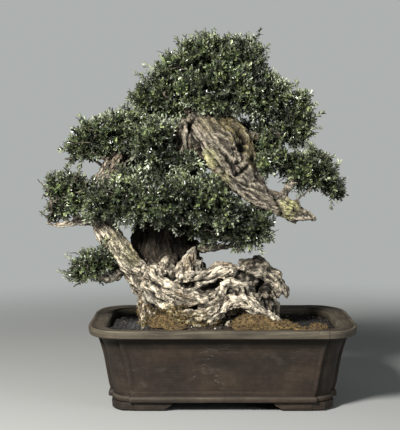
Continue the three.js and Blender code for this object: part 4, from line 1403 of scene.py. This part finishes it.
def build_grains():
    surface = surface_of("soil")
    draw = random.Random(21)
    low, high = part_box("soil")
    places = []
    for _ in range(GRAIN_TRIES):
        x, y = draw.uniform(low.x, high.x), draw.uniform(low.y, high.y)
        z = height_over(surface, x, y)
        if z is None or z < SOIL_TOP - SOIL_EDGE:
            continue
        size = draw.uniform(*GRAIN_SIZES)
        squash = Matrix.Diagonal((size, size * draw.uniform(0.7, 1.0), size * draw.uniform(0.6, 1.0), 1.0))
        places.append(Matrix.Translation((x, y, z + 0.3 * size)) @ random_turn(draw) @ squash)
    templates = [make_grain(seed) for seed in range(TEMPLATES)]
    settle(scatter("soil_grains", templates, places, grain_material(), 22), "soil")


def build_net(name):
    """Fine square netting laid over the soil where the coarse sheet lies."""
    low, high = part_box(name)
    surface = surface_of("soil")
    columns, rows = int((high.x - low.x) / NET_PITCH), int((high.y - low.y) / NET_PITCH)
    bm = bmesh.new()
    bmesh.ops.create_grid(bm, x_segments=columns, y_segments=rows, size=0.5)
    hanging = []
    for vert in bm.verts:
        x = low.x + (vert.co.x + 0.5) * (high.x - low.x)
        y = low.y + (vert.co.y + 0.5) * (high.y - low.y)
        z = height_over(surface, x, y)
        sag = NET_SAG * noise.noise(Vector((x, y, 0)) / 0.03)
        vert.co = (x, y, (z or 0) + NET_LIFT + sag)
        if z is None or z < SOIL_TOP - SOIL_EDGE:
            hanging.append(vert)
    bmesh.ops.delete(bm, geom=hanging, context="VERTS")
    piece = link(name + "_mesh", to_mesh(bm, name + "_mesh"))
    strands = piece.modifiers.new("Strands", "WIREFRAME")
    strands.thickness = STRAND
    strands.use_even_offset = False
    settle(link(name + "_mesh", applied(piece), plain_material("Black net")), "net_plastic", name)


def make_tuft(seed):
    """Thin spikes that lean out all round."""
    draw = random.Random(seed)
    bm = with_layers("tint")
    for _ in range(TUFT_SPIKES):
        long = draw.uniform(0.5, 1.2)
        middle = Matrix.Translation((0, 0, long / 2))
        made = bmesh.ops.create_cone(bm, segments=3, radius1=0.12, radius2=0.04, depth=long, matrix=middle)
        loose = draw.random() < 0.3
        tilt = random_turn(draw) if loose else Matrix.Rotation(draw.uniform(0.2, 1.3), 4, "X")
        spin = Matrix.Rotation(draw.uniform(0, math.tau), 4, "Z")
        bmesh.ops.transform(bm, matrix=spin @ tilt, verts=made["verts"])
    return to_mesh(bm, f"tuft_{seed}")


def tuft_place(draw, vert):
    lean = vert.normal + 0.8 * random_vector(draw, 1)
    return Matrix.Translation(vert.co) @ turned_to(lean) @ Matrix.Scale(draw.uniform(*TUFT_SIZES), 4)


def build_moss(settings):
    """Three heaps of moss, and a skirt of it on the foot of the wood."""
    material = moss_material(settings)
    draw = random.Random(31)
    places = []
    for name in ("moss_left", "moss_right", "moss_corner"):
        bm = largest_skin(to_mesh(copy_node(name), name), MOSS_VOXEL)
        bm.normal_update()
        tint = bm.verts.layers.float.new("tint")
        for vert in bm.verts:
            lump = noise.noise(vert.co / 0.012) + 0.6 * noise.noise(vert.co / 0.005)
            # Painted light and shade: lumps that stand out are lighter, hollows darker.
            vert[tint] = 0.5 + 0.3 * lump
            vert.co += vert.normal * (LUMPS_OF_MOSS * lump - MOSS_SUNK)
            if vert.normal.z > 0 and draw.random() < HEAP_TUFTS:
                places.append(tuft_place(draw, vert))
        mesh = to_mesh(bm, name + "_heap")
        smooth_shading(mesh)
        settle(link(mesh.name, mesh, material), "moss", name)
    for vert in bpy.data.meshes["trunk_wood"].vertices:
        x, y, z = (vert.co - POT_MIDDLE) / MM
        top = SKIRT_TOP - 0.0014 * (x - SKIRT_MIDDLE) ** 2 + 22 * noise.noise(vert.co / 0.03)
        within = y < SKIRT_FRONT and SOIL_TOP / MM < z < top
        if within and vert.normal.y < 0.1 and draw.random() < SKIRT_TUFTS:
            places.append(tuft_place(draw, vert))
    templates = [make_tuft(seed) for seed in range(TEMPLATES)]
    settle(scatter("moss_tufts", templates, places, material, 32), "moss")


# ------------------------------------------------------------------------------------ stage

CAMERA_PLACE = (-50.7, -2833.6, 602.2)  # millimetres from the middle of the pot
CAMERA_TILT = 0.0634  # radians below the horizon
SENSOR = 36.0
FOCAL_SHARE = 1232.27 / 430  # focal length over the height of the picture
FLOOR_SIZE, FLOOR_ENDS = 30.0, (0.9, 2.4)  # metres; the floor fades into the backdrop between the last two
LIGHTS_AIM, KEY_PLACE, FILL_PLACE = (-40, 0, 420), (-1500, -2300, 1900), (2200, -1800, 900)
KEY_SIZE, FILL_SIZE, FILL_SHARE = 0.7, 1.8, 0.12  # metres; the fill light's share of the key light's power
KEY_COLOUR, FILL_COLOUR = (1.0, 0.98, 0.94), (0.92, 0.96, 1.0)


def area_light(name, place, size, power, colour):
    data = bpy.data.lights.new(name, "AREA")
    data.shape = "DISK"
    data.size = size
    data.energy = power
    data.color = colour
    light = bpy.data.objects.new(name, data)
    light.location = spot(*place)
    light.rotation_euler = (spot(*LIGHTS_AIM) - spot(*place)).to_track_quat("-Z", "Y").to_euler()
    bpy.context.scene.collection.objects.link(light)


def place_camera():
    lens = bpy.data.cameras.new("camera")
    lens.sensor_fit = "VERTICAL"
    lens.sensor_height = SENSOR
    lens.lens = SENSOR * FOCAL_SHARE
    camera = bpy.data.objects.new("camera", lens)
    camera.location = spot(*CAMERA_PLACE)
    camera.rotation_euler = (math.pi / 2 - CAMERA_TILT, 0, 0)
    bpy.context.scene.collection.objects.link(camera)
    bpy.context.scene.camera = camera


def floor_material(settings):
    """A matt floor that fades into the backdrop away from the pot."""
    pale = Finish("Pale floor", 0.9)
    pale.shader.inputs["Base Color"].default_value = (*settings.floor, 1.0)
    distance = pale.add("VectorMath", {0: pale.at, 1: spot(0, 0, 0)}, operation="DISTANCE").outputs["Value"]
    levels = {"Value": distance, "From Min": FLOOR_ENDS[0], "From Max": FLOOR_ENDS[1]}
    away = pale.add("MapRange", levels, interpolation_type="SMOOTHSTEP").outputs["Result"]
    glow = pale.add("Emission", {"Color": (*settings.backdrop, 1.0)}).outputs[0]
    faded = pale.add("MixShader", {0: away, 1: pale.shader.outputs[0], 2: glow})
    pale.feed(pale.tree.nodes["Material Output"].inputs["Surface"], faded.outputs[0])
    return pale.material


def light_room(settings):
    """The backdrop, which lights the room more dimly than the camera sees it, and two lamps."""
    world = bpy.data.worlds.new("studio")
    world.use_nodes = True
    room = Nodes(world.node_tree)
    sky = room.tree.nodes["Background"]
    sky.inputs["Color"].default_value = (*settings.backdrop, 1.0)
    seen = room.add("LightPath").outputs["Is Camera Ray"]
    strength = room.add("MapRange", {"Value": seen, "To Min": settings.ambient})
    room.feed(sky.inputs["Strength"], strength.outputs["Result"])
    bpy.context.scene.world = world
    area_light("key", KEY_PLACE, KEY_SIZE, settings.key, KEY_COLOUR)
    area_light("fill", FILL_PLACE, FILL_SIZE, FILL_SHARE * settings.key, FILL_COLOUR)


def build_stage(settings):
    place_camera()
    bm = bmesh.new()
    bmesh.ops.create_grid(bm, x_segments=1, y_segments=1, size=FLOOR_SIZE)
    floor = link("floor", to_mesh(bm, "floor"), floor_material(settings))
    light_room(settings)
    bpy.context.scene.view_settings.view_transform = "Standard"


# ------------------------------------------------------------------------------------ add-on


def colour_setting(name, description, *default):
    return FloatVectorProperty(name=name, description=description, default=default, subtype="COLOR", size=3)


def length_setting(name, description, default):
    return FloatProperty(
        name=name, description=description, default=default, subtype="DISTANCE", unit="LENGTH"
    )


class BonsaiPot(PropertyGroup):
    clay: colour_setting("Clay", "Colour of the unglazed clay", 0.0215, 0.0160, 0.0118)
    worn: colour_setting("Worn rim", "Colour of rubbed clay", 0.100, 0.087, 0.063)
    lime: colour_setting("Lime", "Colour of lime bloom and scratches", 0.085, 0.076, 0.062)


class BonsaiWood(PropertyGroup):
    voxel: length_setting("Skin size", "Width of one quad of the wood's skin", 0.0032)
    crack_depth: length_setting("Crack depth", "Depth of the cracks along the grain", 0.0030)
    deadwood: colour_setting("Deadwood", "Colour of bleached wood", 0.76, 0.665, 0.51)
    ochre: colour_setting("Ochre moss", "Colour of thin moss on wood", 0.13, 0.105, 0.036)
    lichen: colour_setting("Lichen", "Colour of the lichen", 0.38, 0.37, 0.17)


class BonsaiLeaves(PropertyGroup):
    long: length_setting("Leaf length", "Length of a leaf", 0.0108)
    wide: length_setting("Leaf width", "Width of a leaf", 0.0043)
    sunk: length_setting("Root depth", "How deep sprigs start below a pad's skin", 0.020)
    # The core is a dark skin of painted shade inside the pad.
    core_depth: length_setting("Core depth", "How deep the dark tangle lies", 0.028)
    dark: colour_setting("Old leaves", "Colour of old leaves", 0.018, 0.028, 0.011)
    light: colour_setting("Leaves", "Colour of full-grown leaves", 0.084, 0.106, 0.040)
    young: colour_setting("Young leaves", "Colour of new leaves", 0.165, 0.19, 0.082)
    underside: colour_setting("Underside", "Colour of the leaves' undersides", 0.33, 0.36, 0.26)


class BonsaiMoss(PropertyGroup):
    moss: colour_setting("Dry moss", "Colour of dry moss", 0.120, 0.078, 0.026)


class BonsaiStage(PropertyGroup):
    floor: colour_setting("Floor", "Colour of the floor", 0.25, 0.255, 0.25)
    backdrop: colour_setting("Backdrop", "Colour of the room's light", 0.42, 0.44, 0.43)
    ambient: FloatProperty(
        name="Room light", description="Strength of the room's light", default=0.3, min=0.0
    )
    key: FloatProperty(
        name="Key light", description="Power of the main light", default=300.0, subtype="POWER", unit="POWER"
    )


class BONSAI_OT_pot(Operator):
    """Make the unglazed pot and its feet"""

    bl_idname = "bonsai.pot"
    bl_label = "Pot"

    def execute(self, context):
        build_pot(context.scene.bonsai_pot)
        return {"FINISHED"}


class BONSAI_OT_wood(Operator):
    """Carve the trunk, roots and branches"""

    bl_idname = "bonsai.wood"
    bl_label = "Wood"

    def execute(self, context):
        build_wood(context.scene.bonsai_wood)
        return {"FINISHED"}


class BONSAI_OT_leaves(Operator):
    """Grow the sprigs of every pad"""

    bl_idname = "bonsai.leaves"
    bl_label = "Leaves"

    def execute(self, context):
        build_leaves(context.scene.bonsai_leaves)
        return {"FINISHED"}


class BONSAI_OT_twigs(Operator):
    """Grow the branchlets and bare twigs"""

    bl_idname = "bonsai.twigs"
    bl_label = "Twigs"

    def execute(self, context):
        build_twigs()
        return {"FINISHED"}


class BONSAI_OT_ground(Operator):
    """Lay the soil, its grains and the netting"""

    bl_idname = "bonsai.ground"
    bl_label = "Soil and net"

    def execute(self, context):
        build_soil()
        build_grains()
        build_net("net_left")
        build_net("net_right")
        return {"FINISHED"}


class BONSAI_OT_moss(Operator):
    """Heap the dry moss"""

    bl_idname = "bonsai.moss"
    bl_label = "Moss"

    def execute(self, context):
        build_moss(context.scene.bonsai_moss)
        return {"FINISHED"}


class BONSAI_OT_stage(Operator):
    """Set the floor, lights and camera"""

    bl_idname = "bonsai.stage"
    bl_label = "Stage"

    def execute(self, context):
        build_stage(context.scene.bonsai_stage)
        return {"FINISHED"}


OPERATORS = (
    BONSAI_OT_stage,
    BONSAI_OT_pot,
    BONSAI_OT_wood,
    BONSAI_OT_ground,
    BONSAI_OT_moss,
    BONSAI_OT_leaves,
    BONSAI_OT_twigs,
)
SETTINGS = {
    "bonsai_pot": BonsaiPot,
    "bonsai_wood": BonsaiWood,
    "bonsai_leaves": BonsaiLeaves,
    "bonsai_moss": BonsaiMoss,
    "bonsai_stage": BonsaiStage,
}


class BONSAI_PT_panel(Panel):
    """The tree's settings and its makers"""

    bl_idname = "BONSAI_PT_panel"
    bl_label = "Olive Bonsai"
    bl_space_type = "VIEW_3D"
    bl_region_type = "UI"
    bl_category = "Bonsai"

    def draw(self, context):
        for name, group in SETTINGS.items():
            box = self.layout.box()
            for prop in group.__annotations__:
                box.prop(getattr(context.scene, name), prop)
        for operator in OPERATORS:
            self.layout.operator(operator.bl_idname)


def register():
    for cls in (*SETTINGS.values(), *OPERATORS, BONSAI_PT_panel):
        bpy.utils.register_class(cls)
    for name, group in SETTINGS.items():
        setattr(bpy.types.Scene, name, PointerProperty(type=group))


def unregister():
    for name in SETTINGS:
        delattr(bpy.types.Scene, name)
    for cls in reversed((*SETTINGS.values(), *OPERATORS, BONSAI_PT_panel)):
        bpy.utils.unregister_class(cls)


def main():
    register()
    for operator in OPERATORS:
        maker = operator.bl_idname.split(".")[1]
        getattr(bpy.ops.bonsai, maker)()
    for name in ("drain_screen_left", "drain_screen_right"):
        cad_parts[name].data.materials.clear()
        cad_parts[name].data.materials.append(plain_material("Black net"))


if __name__ == "__main__":
    main()
